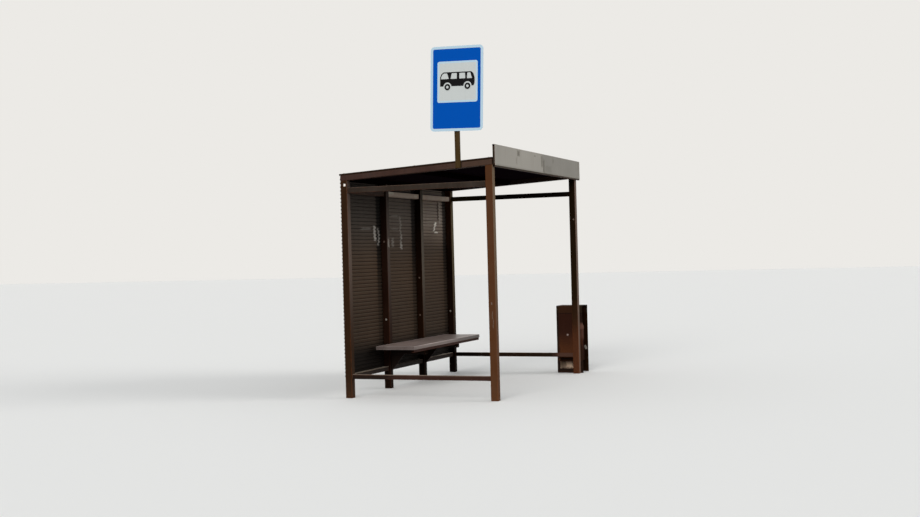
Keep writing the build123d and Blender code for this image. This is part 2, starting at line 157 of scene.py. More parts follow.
class Recipe:
    """Builds the node tree of one material or of the world."""

    def __init__(self, name: str, world: bool = False) -> None:
        """Starts the tree.

        Args:
            name: The material's or the world's name.
            world: Whether the tree is the world's. It then starts empty.
        """
        self.owner = (bpy.data.worlds if world else bpy.data.materials).new(name)
        self.owner.use_nodes = True
        self.tree = self.owner.node_tree
        if world:
            self.tree.nodes.clear()

    def node(
        self, kind: str, settings: Mapping[str, object], values: Mapping[object, Value]
    ) -> bpy.types.Node:
        """Adds one node.

        Args:
            kind: The node's type.
            settings: Its own settings, set first.
            values: What each input takes, by name or number: a Signal, a socket or a constant.

        Returns:
            The node.
        """
        made = self.tree.nodes.new(kind)
        for key, setting in settings.items():
            setattr(made, key, setting)
        for key, value in values.items():
            self.feed(made.inputs[key], value)
        return made

    def feed(self, socket: Socket, value: Value) -> None:
        """Links or sets one input.

        Args:
            socket: The input socket.
            value: A Signal, an output socket, a number, a vector or a colour.
        """
        if isinstance(value, Signal):
            value = value.socket
        if isinstance(value, Socket):
            self.tree.links.new(value, socket)
        elif socket.type == "RGBA":
            socket.default_value = (*value, 1.0)
        else:
            socket.default_value = value

    def signal(
        self, kind: str, settings: Mapping[str, object], values: Mapping[object, Value]
    ) -> Signal:
        """Adds one node, as node does, and returns its first output as a Signal."""
        return Signal(self, self.node(kind, settings, values).outputs[0])

    def math(self, operation: str, *values: Value) -> Signal:
        """Adds one Math node on the values and returns its result."""
        return self.signal("ShaderNodeMath", {"operation": operation}, dict(enumerate(values)))

    def source(self, kind: str, output: str) -> Socket:
        """Adds a node that has no inputs, and returns one of its outputs."""
        return self.node(kind, {}, {}).outputs[output]

    def axes(self, vector: Socket) -> tuple[Signal, Signal, Signal]:
        """The three parts of a vector, each as a Signal."""
        parts = self.node("ShaderNodeSeparateXYZ", {}, {0: vector}).outputs
        return tuple(Signal(self, part) for part in parts)

    def place(self) -> tuple[Signal, Signal, Signal]:
        """The place on the object along X, Y and Z, in metres."""
        return self.axes(self.source("ShaderNodeTexCoord", "Object"))

    def towards(self, axis: Axis, sign: int, low: float = 0.5, high: float = 0.9) -> Signal:
        """Where the surface faces one way.

        Args:
            axis: The axis of that way.
            sign: 1 or -1, for the way along the axis.
            low: How far it faces that way where the mask starts, at 0.
            high: How far it faces that way where the mask ends, at 1.

        Returns:
            The mask, from 0 to 1.
        """
        normal = self.axes(self.source("ShaderNodeNewGeometry", "Normal"))
        return (normal[axis.value] * sign).rise(low, high)

    def seen(self) -> Signal:
        """Tells rays that show the surround from rays that light the object by it.

        Returns:
            1 for a ray of the picture, a mirror or glass, and 0 for light.
        """
        kinds = ("Is Camera Ray", "Is Glossy Ray", "Is Transmission Ray")
        rays = (Signal(self, self.source("ShaderNodeLightPath", kind)) for kind in kinds)
        return reduce(Signal.most, rays)

    def noise(
        self,
        scale: float,
        stretch: Triple = (1.0, 1.0, 1.0),
        detail: float = 3.0,
        shift: float = 0.0,
    ) -> Signal:
        """A cloudy pattern in the object's own metres.

        Args:
            scale: Blotches in a metre.
            stretch: How many times denser the pattern is along each axis.
            detail: How many finer layers it has.
            shift: How far the pattern is moved, so that two patterns differ.

        Returns:
            The pattern, about 0.5 on average.
        """
        vector = self.source("ShaderNodeTexCoord", "Object")
        moved = {"Vector": vector, "Location": (shift, shift, shift), "Scale": stretch}
        mapping = self.node("ShaderNodeMapping", {}, moved)
        values = {"Vector": mapping.outputs[0], "Scale": scale, "Detail": detail}
        return self.signal("ShaderNodeTexNoise", {}, values)

    def blend(self, below: Value, above: Value, mask: Value) -> Socket:
        """Lays one colour over another where the mask is 1."""
        mix = self.node("ShaderNodeMix", {"data_type": "RGBA"}, {0: mask, 6: below, 7: above})
        return mix.outputs[2]

    def shade(self, colour: Value, amount: Signal) -> Socket:
        """Scales a colour's brightness by a Signal."""
        settings = {"operation": "SCALE"}
        return self.node("ShaderNodeVectorMath", settings, {0: colour, "Scale": amount}).outputs[0]

    def mark(
        self,
        colour: Value,
        tint: Colour,
        marks: tuple[Mark, ...],
        spot: tuple[Signal, Signal, Signal],
        where: Value = 1.0,
    ) -> Value:
        """Lays marks over a colour.

        Args:
            colour: The colour below.
            tint: The marks' own colour.
            marks: The marks. Where they meet, the strongest shows.
            spot: The level coordinate, the height, and a pattern that breaks their edges.
            where: How much of the marks shows.

        Returns:
            The marked colour, or the same colour if there are no marks.
        """
        if not marks:
            return colour
        strongest = reduce(Signal.most, (mark.mask(*spot) for mark in marks))
        return self.blend(colour, tint, strongest * where)

    def finish(
        self,
        colour: Value,
        roughness: Value,
        relief: Signal | None = None,
        depth: float = 0.0,
        **constants: float,
    ) -> Material:
        """Feeds the shader.

        Args:
            colour: The base colour.
            roughness: The roughness.
            relief: The pattern that raises the surface, from 0 to 1, if there is one.
            depth: How high 1 stands, in metres.
            **constants: More sockets of the shader, spelt with underscores, and their values.

        Returns:
            The finished material.
        """
        inputs = self.tree.nodes["Principled BSDF"].inputs
        self.feed(inputs["Base Color"], colour)
        self.feed(inputs["Roughness"], roughness)
        if relief is not None:
            bump = self.node("ShaderNodeBump", {}, {"Height": relief, "Distance": depth})
            self.feed(inputs["Normal"], bump.outputs[0])
        for key, value in constants.items():
            inputs[key.replace("_", " ")].default_value = value
        return self.owner


@dataclass(frozen=True)
class Extent:
    """A node's box, with the fall of its top where it lies in the roof."""

    low: Vector
    high: Vector
    fall: float = 0.0

    @classmethod
    def of(cls, node: str, fall: float = 0.0) -> Extent:
        """The box of a CAD node at rest.

        Args:
            node: The node's name.
            fall: How far the node drops for each metre along Y.

        Returns:
            The box, without the fall in its height.
        """
        low, high = (Vector(corner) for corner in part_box(node))
        high.z -= fall * (high.y - low.y)
        return cls(low, high, fall)

    @property
    def middle(self) -> Vector:
        """The middle of the box."""
        return (self.low + self.high) / 2

    @property
    def size(self) -> Vector:
        """The box's size along each axis."""
        return self.high - self.low

    def edge_gap(self, recipe: Recipe) -> Signal:
        """How far a place on the box's surface is from its nearest edge.

        Args:
            recipe: The node tree.

        Returns:
            The gap, in metres.
        """
        x, y, z = recipe.place()
        if self.fall:
            z = z + (y - self.low.y) * self.fall
        inward = []
        for part, low, high in zip((x, y, z), self.low, self.high):
            inward.append((high - low) / 2 - abs(part - (low + high) / 2))
        return inward[0] + inward[1] + inward[2] - reduce(Signal.most, inward)


@dataclass(frozen=True)
class Stain:
    """A soft patch on an upright surface: its middle, its size and how strong it is."""

    place: Place
    size: Place
    strength: float
    raggedness: float = 1.4

    def mask(self, across: Signal, height: Signal, ragged: Signal) -> Signal:
        """The patch as a mask.

        Args:
            across: The level coordinate on the surface, in metres.
            height: The height, in metres.
            ragged: A pattern that breaks the patch's edge.

        Returns:
            The mask, from 0 to the patch's strength.
        """
        sideways = abs(across - self.place[0]) / (self.size[0] / 2)
        upright = abs(height - self.place[1]) / (self.size[1] / 2)
        off = sideways.most(upright) + (ragged - 0.5) * self.raggedness
        return off.rise(1.0, 0.55) * self.strength


@dataclass(frozen=True)
class Stroke:
    """A line that runs up a surface and sways from side to side, wiped or scratched on it."""

    foot: Place
    length: float
    width: float
    sway: float = 0.0
    wave: float = 0.1
    lean: float = 0.0
    strength: float = 0.8
    tip: float = 0.12

    def mask(self, across: Signal, height: Signal, ragged: Signal) -> Signal:
        """The line as a mask, as Stain has it.

        Args:
            across: The level coordinate on the surface, in metres.
            height: The height, in metres.
            ragged: A pattern that breaks the line up.

        Returns:
            The mask, from 0 to the line's strength.
        """
        up = height - self.foot[1]
        swing = up.recipe.math("SINE", up * (math.tau / self.wave)) * self.sway
        off = abs(across - (up * self.lean + swing + self.foot[0]))
        line = off.rise(self.width * 0.75, self.width * 0.25)
        within = (self.length / 2 - abs(up - self.length / 2)).rise(0.0, self.length * self.tip)
        return line * within * ragged.rise(0.25, 0.5) * self.strength


Mark = Stain | Stroke


@dataclass(frozen=True)
class SteelPaint:
    """Matte brown paint on steel: sun-faded, rusty at the edges and dusty near the ground, with
    painted light and shade.
    """

    colour: Colour
    faded: Colour
    rust: Colour = srgb(104, 52, 20)
    dust: Colour = srgb(96, 82, 66)
    ground: Colour = srgb(120, 70, 34)
    mark_colour: Colour = srgb(176, 168, 158)
    patch_colour: Colour = srgb(30, 20, 14)
    front: Colour = srgb(84, 70, 60)
    front_lighting: float = 0.0
    front_lighting_foot: float = 0.2
    front_lighting_head: float = 2.0
    fading: float = 0.5
    rusting: float = 0.35
    dusting: float = 0.35
    ground_dirt_and_shade: float = 0.0
    roughness: float = 0.55
    specular: float = 0.06
    splash_height: float = 0.35
    shaded_above: float = 3.0
    shading: float = 0.6
    foot_shade: float = 0.0
    shaded_below: float = 0.62
    marks: tuple[Mark, ...] = ()
    patches: tuple[Mark, ...] = ()
    mark_axis: Axis = Axis.Y
    marked_inside: bool = False
    seam_and_shadow_lines: tuple[float, ...] = ()
    edge_width: float = 0.012
    relief: float = 0.0006

    def material(self, name: str, extent: Extent) -> Material:
        """Paints one piece.

        Args:
            name: The material's name.
            extent: The piece's box, for the wear along its edges.

        Returns:
            The material.
        """
        recipe = Recipe(name)
        place = recipe.place()
        height = place[Axis.Z.value]
        clouds = recipe.noise(4.0)
        runs = recipe.noise(30.0, stretch=(1.0, 1.0, 0.06), detail=4.0, shift=3.0)
        specks = recipe.noise(70.0, detail=5.0, shift=7.0)
        grain = recipe.noise(420.0, detail=2.0, shift=11.0)
        faded = clouds.rise(0.35, 0.7) * 0.6 + runs.rise(0.45, 0.75) * 0.4
        colour = recipe.blend(self.colour, self.faded, faded * self.fading)
        edge = extent.edge_gap(recipe).rise(self.edge_width, 0.002)
        splash = height.rise(self.splash_height, 0.0)
        # A tint near the foot: dirt on most parts, and painted shade where the ground colour is near
        # black.
        ground_dirt_and_shade_mask = (splash + clouds * 0.5 - 0.25).rise(0.1, 0.8) * (0.6 + specks * 0.8)
        colour = recipe.blend(colour, self.ground, ground_dirt_and_shade_mask * self.ground_dirt_and_shade)
        # Painted light on faces towards the front, and painted shade where the front colour is the
        # darker one; weaker towards the foot.
        fore = recipe.towards(Axis.Y, -1)
        front_lighting_mask = fore * height.rise(self.front_lighting_foot, self.front_lighting_head) * (0.8 + runs * 0.4)
        colour = recipe.blend(colour, self.front, front_lighting_mask * self.front_lighting)
        worn = (edge * 0.3 + splash * 0.22 + specks * 0.75 + runs * 0.25).rise(0.66, 0.86)
        rusty = worn * self.rusting
        colour = recipe.blend(colour, self.rust, rusty)
        level = recipe.towards(Axis.Z, 1, 0.55, 0.95)
        settled = (level * 0.8 + splash * 0.3) * (0.5 + specks * 0.9)
        colour = recipe.blend(colour, self.dust, settled * self.dusting)
        spot = (place[self.mark_axis.value], height, specks)
        shown = 1.0
        if self.marked_inside:
            outer = (recipe.towards(axis, 1, 0.3, 0.7) for axis in (Axis.X, Axis.Y))
            shown = 1 - reduce(Signal.most, outer)
        colour = recipe.mark(colour, self.patch_colour, self.patches, spot, shown)
        colour = recipe.mark(colour, self.mark_colour, self.marks, spot, shown)
        # Painted shade under the roof, turned into painted light where shading is below 0, and painted
        # shade below the seat.
        roofed = height.rise(self.shaded_above - 0.7, self.shaded_above + 0.3) * (1 - fore)
        under = height.rise(self.shaded_below, self.shaded_below - 0.26) * self.foot_shade
        shading = (1 - roofed * self.shading) * (1 - under)
        # Dark lines across at given heights: seams, and painted shadow lines below an overhanging lip.
        for dark_line in self.seam_and_shadow_lines:
            shading = shading * (1 - abs(height - dark_line).rise(0.005, 0.002) * 0.75)
        colour = recipe.shade(colour, shading * (0.84 + grain * 0.32))
        raised = grain * 0.25 + worn * 0.6 + recipe.noise(22.0, shift=5.0) * 0.6
        roughness = self.roughness + rusty * 0.3 + settled * 0.2
        return recipe.finish(
            colour, roughness, raised, self.relief, Specular_IOR_Level=self.specular
        )


@dataclass(frozen=True)
class PanelCoat:
    """Factory coat of the ribbed wall sheets: dusty ledges, pale wiped lines and dark runs, with
    painted shade and painted light on the inner side.
    """

    colour: Colour = srgb(70, 54, 41)
    upper: Colour = srgb(75, 68, 62)
    ledge: Colour = srgb(104, 94, 82)
    grime_and_shade: Colour = srgb(26, 18, 14)
    wiped: Colour = srgb(170, 164, 156)
    roughness: float = 0.55
    specular: float = 0.06
    marks: tuple[Mark, ...] = ()
    darkened: tuple[Mark, ...] = ()
    upper_from: float = 1.4
    upper_to: float = 2.1
    post_shade: float = 0.13
    # Painted light high up on the sheet: where it starts and how strong it is.
    upper_light_above: float = 1.9
    lift: float = 0.0
    foot_shade: float = 0.53
    foot_shading: float = 0.88
    low_shading: float = 0.38
    relief: float = 0.0004

    def material(self, name: str, post_face: float) -> Material:
        """Coats one wall sheet.

        Args:
            name: The material's name.
            post_face: Where the post at the sheet's right end starts, along X.

        Returns:
            The material.
        """
        recipe = Recipe(name)
        x, _, z = recipe.place()
        clouds = recipe.noise(3.0)
        runs = recipe.noise(24.0, stretch=(1.0, 1.0, 0.08), detail=4.0, shift=2.0)
        specks = recipe.noise(60.0, detail=5.0, shift=9.0)
        grain = recipe.noise(500.0, detail=2.0, shift=4.0)
        colour = recipe.blend(self.colour, self.upper, z.rise(self.upper_from, self.upper_to))
        colour = recipe.shade(colour, 0.82 + clouds * 0.36)
        # Painted shade on faces that point down.
        colour = recipe.blend(colour, self.grime_and_shade, recipe.towards(Axis.Z, -1, 0.3, 0.8) * 0.8)
        ledge = recipe.towards(Axis.Z, 1, 0.3, 0.8) * (0.25 + specks * 0.6)
        colour = recipe.blend(colour, self.ledge, ledge)
        colour = recipe.blend(colour, self.grime_and_shade, runs.rise(0.55, 0.8) * 0.3)
        inner = recipe.towards(Axis.Y, -1, 0.0, 0.4)
        colour = recipe.mark(colour, self.grime_and_shade, self.darkened, (x, z, specks), inner)
        # Painted shade beside each post, below the seat and low down, and painted light high up, all
        # on the inner side.
        gap = post_face - x
        beside = gap.rise(self.post_shade, self.post_shade * 0.75) * gap.rise(-0.04, 0.0)
        beside = beside * (0.42 + z.rise(0.9, 1.7) * 0.46)
        painted_upper_light = z.rise(self.upper_light_above - 0.3, self.upper_light_above + 0.2) * self.lift
        foot = z.rise(self.foot_shade + 0.14, self.foot_shade - 0.1) * self.foot_shading
        low = z.rise(1.7, 0.7) * self.low_shading
        kept = (1 - beside) * (1 - foot) * (1 - low) * (1 + painted_upper_light)
        colour = recipe.shade(colour, 1 - inner * (1 - kept))
        colour = recipe.mark(colour, self.wiped, self.marks, (x, z, specks), inner)
        raised = grain * 0.5 + specks * 0.5
        roughness = self.roughness + specks * 0.2
        return recipe.finish(
            colour, roughness, raised, self.relief, Specular_IOR_Level=self.specular
        )


@dataclass(frozen=True)
class RoofCoat:
    """Brown coat of the roof sheet, with dust and lichen on top."""

    colour: Colour = srgb(44, 30, 22)
    below: Colour = srgb(50, 37, 48)
    lichen: Colour = srgb(110, 108, 76)
    dust: Colour = srgb(104, 86, 70)
    roughness: float = 0.6
    specular: float = 0.0
    relief: float = 0.0006

    def material(self, name: str) -> Material:
        """Coats the roof sheet.

        Args:
            name: The material's name.

        Returns:
            The material.
        """
        recipe = Recipe(name)
        clouds = recipe.noise(3.0)
        runs = recipe.noise(26.0, stretch=(1.0, 0.07, 1.0), detail=4.0, shift=2.0)
        specks = recipe.noise(55.0, detail=6.0, shift=9.0)
        top = recipe.towards(Axis.Z, 1, 0.1, 0.7)
        colour = recipe.blend(self.colour, self.below, recipe.towards(Axis.Z, -1, 0.2, 0.6))
        colour = recipe.shade(colour, 0.8 + clouds * 0.4)
        colour = recipe.blend(colour, self.dust, top * (0.15 + runs.rise(0.4, 0.75) * 0.5))
        spots = (specks + clouds * 0.5).rise(0.86, 0.98)
        colour = recipe.blend(colour, self.lichen, spots * top * 0.8)
        raised = specks * 0.6 + spots * 0.6
        roughness = self.roughness + spots * 0.3
        return recipe.finish(
            colour, roughness, raised, self.relief, Specular_IOR_Level=self.specular
        )


@dataclass(frozen=True)
class SheetPaint:
    """Pale paint of the fascia sheets, streaked by rain from the top edge."""

    colour: Colour = srgb(156, 151, 142)
    streak: Colour = srgb(112, 106, 94)
    rust: Colour = srgb(126, 86, 56)
    mark_colour: Colour = srgb(94, 88, 78)
    roughness: float = 0.55
    specular: float = 0.1
    seam_and_shadow_lines: tuple[float, ...] = ()
    marks: tuple[Mark, ...] = ()
    relief: float = 0.0006

    def material(self, name: str, extent: Extent) -> Material:
        """Paints one fascia sheet.

        Args:
            name: The material's name.
            extent: The sheet's box.

        Returns:
            The material.
        """
        recipe = Recipe(name)
        x, _, z = recipe.place()
        clouds = recipe.noise(2.5)
        runs = recipe.noise(13.0, stretch=(1.0, 1.0, 0.08), detail=6.0, shift=2.0)
        specks = recipe.noise(80.0, detail=5.0, shift=9.0)
        drop = (z - extent.low.z) / extent.size.z
        colour = recipe.shade(self.colour, 0.88 + clouds * 0.24)
        streaked = runs.rise(0.48, 0.85) * clouds.rise(0.35, 0.65) * (0.2 + drop * 0.5)
        colour = recipe.blend(colour, self.streak, streaked)
        colour = recipe.blend(colour, self.streak, drop.rise(0.12, 0.0) * 0.35)
        for dark_line in self.seam_and_shadow_lines:
            line = abs(x - dark_line).rise(0.008, 0.002)
            colour = recipe.blend(colour, self.streak, line * drop.rise(0.3, 0.6) * 0.6)
        fore = recipe.towards(Axis.Y, -1, 0.3, 0.7)
        colour = recipe.mark(colour, self.mark_colour, self.marks, (x, z, specks), fore)
        edge = extent.edge_gap(recipe).rise(0.01, 0.002)
        worn = (edge * 0.3 + specks).rise(0.86, 1.0)
        colour = recipe.blend(colour, self.rust, worn * 0.6)
        raised = specks * 0.4 + clouds * 2.0
        roughness = self.roughness + streaked * 0.2
        return recipe.finish(
            colour, roughness, raised, self.relief, Specular_IOR_Level=self.specular
        )


@dataclass(frozen=True)
class BoardFinish:
    """Worn brown stain on the bench board, with its grain along the seat, a painted glare on its top
    and painted shade on its near end and front edge.
    """

    colour: Colour = srgb(126, 111, 105)
    grain: Colour = srgb(84, 68, 63)
    bare_wood_and_glare: Colour = srgb(198, 188, 182)
    roughness: float = 0.38
    specular: float = 0.3
    relief: float = 0.0007

    def material(self, name: str, extent: Extent) -> Material:
        """Stains the board.

        Args:
            name: The material's name.
            extent: The board's box.

        Returns:
            The material.
        """
        recipe = Recipe(name)
        x = recipe.place()[0]
        fibres = recipe.noise(140.0, stretch=(0.025, 1.0, 1.0), detail=5.0)
        bands = recipe.noise(16.0, stretch=(0.05, 1.0, 1.0), detail=3.0, shift=4.0)
        clouds = recipe.noise(5.0, shift=8.0)
        scratches = recipe.noise(90.0, stretch=(0.3, 1.0, 1.0), detail=2.0, shift=6.0)
        colour = recipe.blend(self.colour, self.grain, fibres.rise(0.4, 0.7) * 0.55)
        colour = recipe.blend(colour, self.grain, bands.rise(0.45, 0.7) * 0.4)
        edge = extent.edge_gap(recipe).rise(0.02, 0.002)
        top = recipe.towards(Axis.Z, 1, 0.4, 0.9)
        worn = (clouds * 0.6 + edge * 0.25 + scratches * 0.3).rise(0.5, 0.8)
        # Bare wood where it is worn, more on the top, where the pale colour is also a painted glare.
        colour = recipe.blend(colour, self.bare_wood_and_glare, worn * (0.2 + top * 0.45))
        # Painted shade on the near end and the far part of the front edge, and a painted glare on the
        # top, strongest in the middle and weaker towards the far end.
        end = recipe.towards(Axis.X, -1)
        fore = recipe.towards(Axis.Y, -1)
        side = end * 0.25 + fore * x.rise(1.4, 2.2) * 0.45
        middle_glare = x.rise(0.55, 0.85) * x.rise(1.5, 1.1)
        bright = 0.43 + middle_glare * 0.22 - x.rise(1.2, 1.7) * 0.18
        colour = recipe.shade(colour, 0.82 + top * bright - side)
        raised = fibres * 0.6 + scratches * 0.3 + bands
        roughness = self.roughness + worn * 0.2
        return recipe.finish(
            colour, roughness, raised, self.relief, Specular_IOR_Level=self.specular
        )


@dataclass(frozen=True)
class Enamel:
    """Smooth sign enamel in one hue, slightly weathered."""

    colour: Colour
    dirt: Colour = srgb(60, 66, 66)
    weathering: float = 0.04
    roughness: float = 0.45
    specular: float = 0.06
    relief: float = 0.0002

    def material(self, name: str) -> Material:
        """Enamels one piece.

        Args:
            name: The material's name.

        Returns:
            The material.
        """
        recipe = Recipe(name)
        clouds = recipe.noise(3.0)
        runs = recipe.noise(40.0, stretch=(1.0, 1.0, 0.06), detail=4.0, shift=2.0)
        specks = recipe.noise(120.0, detail=4.0, shift=9.0)
        colour = recipe.shade(self.colour, 1.0 - self.weathering / 2 + clouds * self.weathering)
        colour = recipe.blend(colour, self.dirt, runs.rise(0.5, 0.85) * self.weathering)
        raised = specks * 0.3 + clouds
        roughness = self.roughness + specks * 0.1
        return recipe.finish(
            colour, roughness, raised, self.relief, Specular_IOR_Level=self.specular
        )


@dataclass(frozen=True)
class Zinc:
    """Dull zinc plating of bolts and washers, with a little brown tarnish in patches."""

    colour: Colour = srgb(158, 152, 142)
    tarnish: Colour = srgb(112, 92, 74)
    roughness: float = 0.45
    metallic: float = 0.55
    relief: float = 0.0003

    def material(self, name: str) -> Material:
        """Plates one set of fixings.

        Args:
            name: The material's name.

        Returns:
            The material.
        """
        recipe = Recipe(name)
        spangle = recipe.noise(350.0, detail=2.0)
        patches = recipe.noise(60.0, detail=4.0, shift=5.0)
        colour = recipe.shade(self.colour, 0.8 + spangle * 0.4)
        colour = recipe.blend(colour, self.tarnish, patches.rise(0.5, 0.72) * 0.6)
        raised = spangle * 0.5 + patches * 0.5
        roughness = self.roughness + patches * 0.2
        return recipe.finish(colour, roughness, raised, self.relief, Metallic=self.metallic)


Finish = SteelPaint | SheetPaint | BoardFinish


class Workbench:
    """Modelling by hand with operators, one piece at a time."""

    @staticmethod
    def select(*pieces: Piece) -> None:
        """Selects these objects and nothing else.

        Args:
            *pieces: The objects. The first one becomes active.
        """
        bpy.ops.object.select_all(action="DESELECT")
        for piece in pieces:
            piece.select_set(True)
        if pieces:
            bpy.context.view_layer.objects.active = pieces[0]

    @staticmethod
    def rename(piece: Piece, name: str) -> Piece:
        """Names an object and its mesh, and returns the object."""
        piece.name = piece.data.name = name
        return piece

    @staticmethod
    def start(operator: Callable[..., object], name: str, **options: object) -> Piece:
        """Adds a primitive and names it.

        Args:
            operator: The primitive's operator.
            name: The new piece's name.
            **options: What the operator takes.

        Returns:
            The new object, active and selected.
        """
        Workbench.select()
        operator(**options)
        return Workbench.rename(bpy.context.object, name)

    @staticmethod
    @contextmanager
    def editing() -> Iterator[None]:
        """Edit mode on the active object, for as long as the block runs."""
        bpy.ops.object.mode_set(mode="EDIT")
        yield
        bpy.ops.object.mode_set(mode="OBJECT")

    @staticmethod
    def pick(piece: Piece, kind: str, wanted: Callable[[object], bool]) -> None:
        """Selects faces or edges in edit mode.

        Args:
            piece: The object, in edit mode.
            kind: FACE or EDGE.
            wanted: Says of a face or edge whether it is selected.
        """
        bpy.ops.mesh.select_mode(type=kind)
        bpy.ops.mesh.select_all(action="DESELECT")
        shape = bmesh.from_edit_mesh(piece.data)
        for element in shape.faces if kind == "FACE" else shape.edges:
            if wanted(element):
                element.select_set(True)
        bmesh.update_edit_mesh(piece.data)

    @staticmethod
    def settle(piece: Piece) -> Piece:
        """Moves an object's place, turn and size into its mesh.

        Args:
            piece: The object.

        Returns:
            The same object.
        """
        Workbench.select(piece)
        bpy.ops.object.transform_apply(location=True, rotation=True, scale=True)
        return piece

    @staticmethod
    def join(pieces: list[Piece], name: str) -> Piece:
        """Joins objects into one.

        Args:
            pieces: The objects. The first one stays.
            name: The joined piece's name.

        Returns:
            The joined object.
        """
        Workbench.select(*pieces)
        if len(pieces) > 1:
            bpy.ops.object.join()
        return Workbench.settle(Workbench.rename(bpy.context.object, name))

    @staticmethod
    def copies(model: Piece, places: Iterable[Matrix], name: str) -> Piece:
        """Copies a model to each place, joins the copies and deletes the model.

        Args:
            model: The piece that repeats, modelled at the origin.
            places: Where each copy goes.
            name: The joined piece's name.

        Returns:
            The joined copies.
        """
        made = []
        for place in places:
            copy = model.copy()
            copy.data = model.data.copy()
            copy.data.transform(place)
            bpy.context.collection.objects.link(copy)
            made.append(copy)
        bpy.data.objects.remove(model)
        return Workbench.join(made, name)

    @staticmethod
    def round_edges(piece: Piece, width: float, steps: int = 1) -> None:
        """Bevels a piece's sharp edges and smooths it.

        Args:
            piece: The object.
            width: The bevel's width, in metres.
            steps: How many faces cross the bevel.
        """
        Workbench.select(piece)
        bevel = piece.modifiers.new("Bevel", "BEVEL")
        bevel.width = width
        bevel.segments = steps
        bevel.limit_method = "ANGLE"
        bpy.ops.object.modifier_apply(modifier=bevel.name)
        bpy.ops.object.shade_smooth_by_angle(angle=SMOOTH_ANGLE)

    @staticmethod
    def drum(
        name: str, sides: int, radius: float, height: float, foot: float = 0.0, softened: float = 0.0
    ) -> Piece:
        """Models an upright cylinder or prism about the Z axis.

        Args:
            name: The piece's name.
            sides: How many sides it has.
            radius: Its radius, to the corners.
            height: Its height.
            foot: Where it starts along Z.
            softened: How wide its bevelled edges are, as a share of its height.

        Returns:
            The piece.
        """
        drum = Workbench.start(
            bpy.ops.mesh.primitive_cylinder_add, name, vertices=sides, radius=radius, depth=height,
            location=(0, 0, foot + height / 2),
        )
        Workbench.settle(drum)
        if softened:
            Workbench.round_edges(drum, height * softened)
        return drum

    @staticmethod
    def slab(name: str, width: float, length: float, thickness: float) -> Piece:
        """Starts a flat piece from a cube, standing on z = 0.

        Args:
            name: The piece's name.
            width: Its size along X.
            length: Its size along Y.
            thickness: Its size along Z.

        Returns:
            The piece.
        """
        lift = (0, 0, thickness / 2)
        slab = Workbench.start(bpy.ops.mesh.primitive_cube_add, name, size=1.0, location=lift)
        bpy.ops.transform.resize(value=(width, length, thickness))
        return Workbench.settle(slab)

    @staticmethod
    def press_top(piece: Piece, rim: float, shift: float) -> None:
        """Insets a piece's top face and moves the inner face along Z.

        Args:
            piece: The active object.
            rim: How wide the inset is.
            shift: How far the inner face moves up, or down if negative.
        """
        with Workbench.editing():
            Workbench.pick(piece, "FACE", lambda face: face.normal.z > LEVEL)
            bpy.ops.mesh.inset(thickness=rim)
            bpy.ops.transform.translate(value=(0, 0, shift))


def dress(piece: Piece, material: Material, slot: str | None = None) -> None:
    """Gives a piece its one material and, if it is new, ties it to the body.

    Args:
        piece: A CAD node's object or a new piece.
        material: The material.
        slot: The record's material slot of a new piece, or None for a CAD node.
    """
    if slot is None and piece.material_slots:
        for held in piece.material_slots:
            held.material = material
    else:
        piece.data.materials.clear()
        piece.data.materials.append(material)
    if slot is not None:
        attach(piece, BODY)
    LOG.info("dressed %s with %s", piece.name, material.name)


def coat(
    nodes: Nodes, finishes: Mapping[str, Finish], fall: float = 0.0
) -> None:
    """Dresses CAD nodes in finishes that wear along the edges of each node's box.

    Args:
        nodes: The CAD nodes by name.
        finishes: Each node's finish.
        fall: How far the nodes drop for each metre along Y.
    """
    for node, finish in finishes.items():
        dress(nodes[node], finish.material(f"finish_{node}", Extent.of(node, fall)))


def fasten(
    fixing: Fixing, name: str, places: list[Matrix], slot: str, zinc: Zinc = Zinc()
) -> None:
    """Sets one kind of fixing at each of its places.

    Args:
        fixing: The bolt, screw or catch.
        name: The name of the joined piece.
        places: Where each one goes.
        slot: The record's material slot.
        zinc: Its plating.
    """
    fixings = Workbench.copies(fixing.model(name), places, name)
    dress(fixings, zinc.material(f"zinc_{name}"), slot)


def pointing(axis: Axis, sign: int, place: Iterable[float]) -> Matrix:
    """Turns a model that points along +Z to point along an axis, and moves it.

    Args:
        axis: The axis that it will point along.
        sign: 1 or -1, for the way along that axis.
        place: Where the model's origin goes.

    Returns:
        The matrix.
    """
    way = Vector((0.0, 0.0, 0.0))
    way[axis.value] = sign
    return Matrix.Translation(Vector(place)) @ way.to_track_quat("Z", "Y").to_matrix().to_4x4()


@dataclass(frozen=True)
class HexBolt:
    """A hexagon head on a round washer, standing on the plane z = 0.

    The top's rim is a share of its width, its rise and its softened edge shares of its height.
    """

    across_corners: float = 0.0196
    head_height: float = 0.0066
    washer_radius: float = 0.0125
    washer_height: float = 0.0022
    round_sides: int = 24
    top_rim: float = 0.07
    top_rise: float = 0.14
    softened: float = 0.06

    def model(self, name: str) -> Piece:
        """Models one bolt head with its washer.

        Args:
            name: The piece's name.

        Returns:
            The bolt, pointing along +Z.
        """
        washer = Workbench.drum(
            name + "_washer", self.round_sides, self.washer_radius, self.washer_height, softened=0.25
        )
        radius = self.across_corners / 2
        head = Workbench.drum(name, 6, radius, self.head_height, self.washer_height)
        rim = self.across_corners * self.top_rim
        Workbench.press_top(head, rim, self.head_height * self.top_rise)
        Workbench.round_edges(head, self.head_height * self.softened)
        return Workbench.join([head, washer], name)


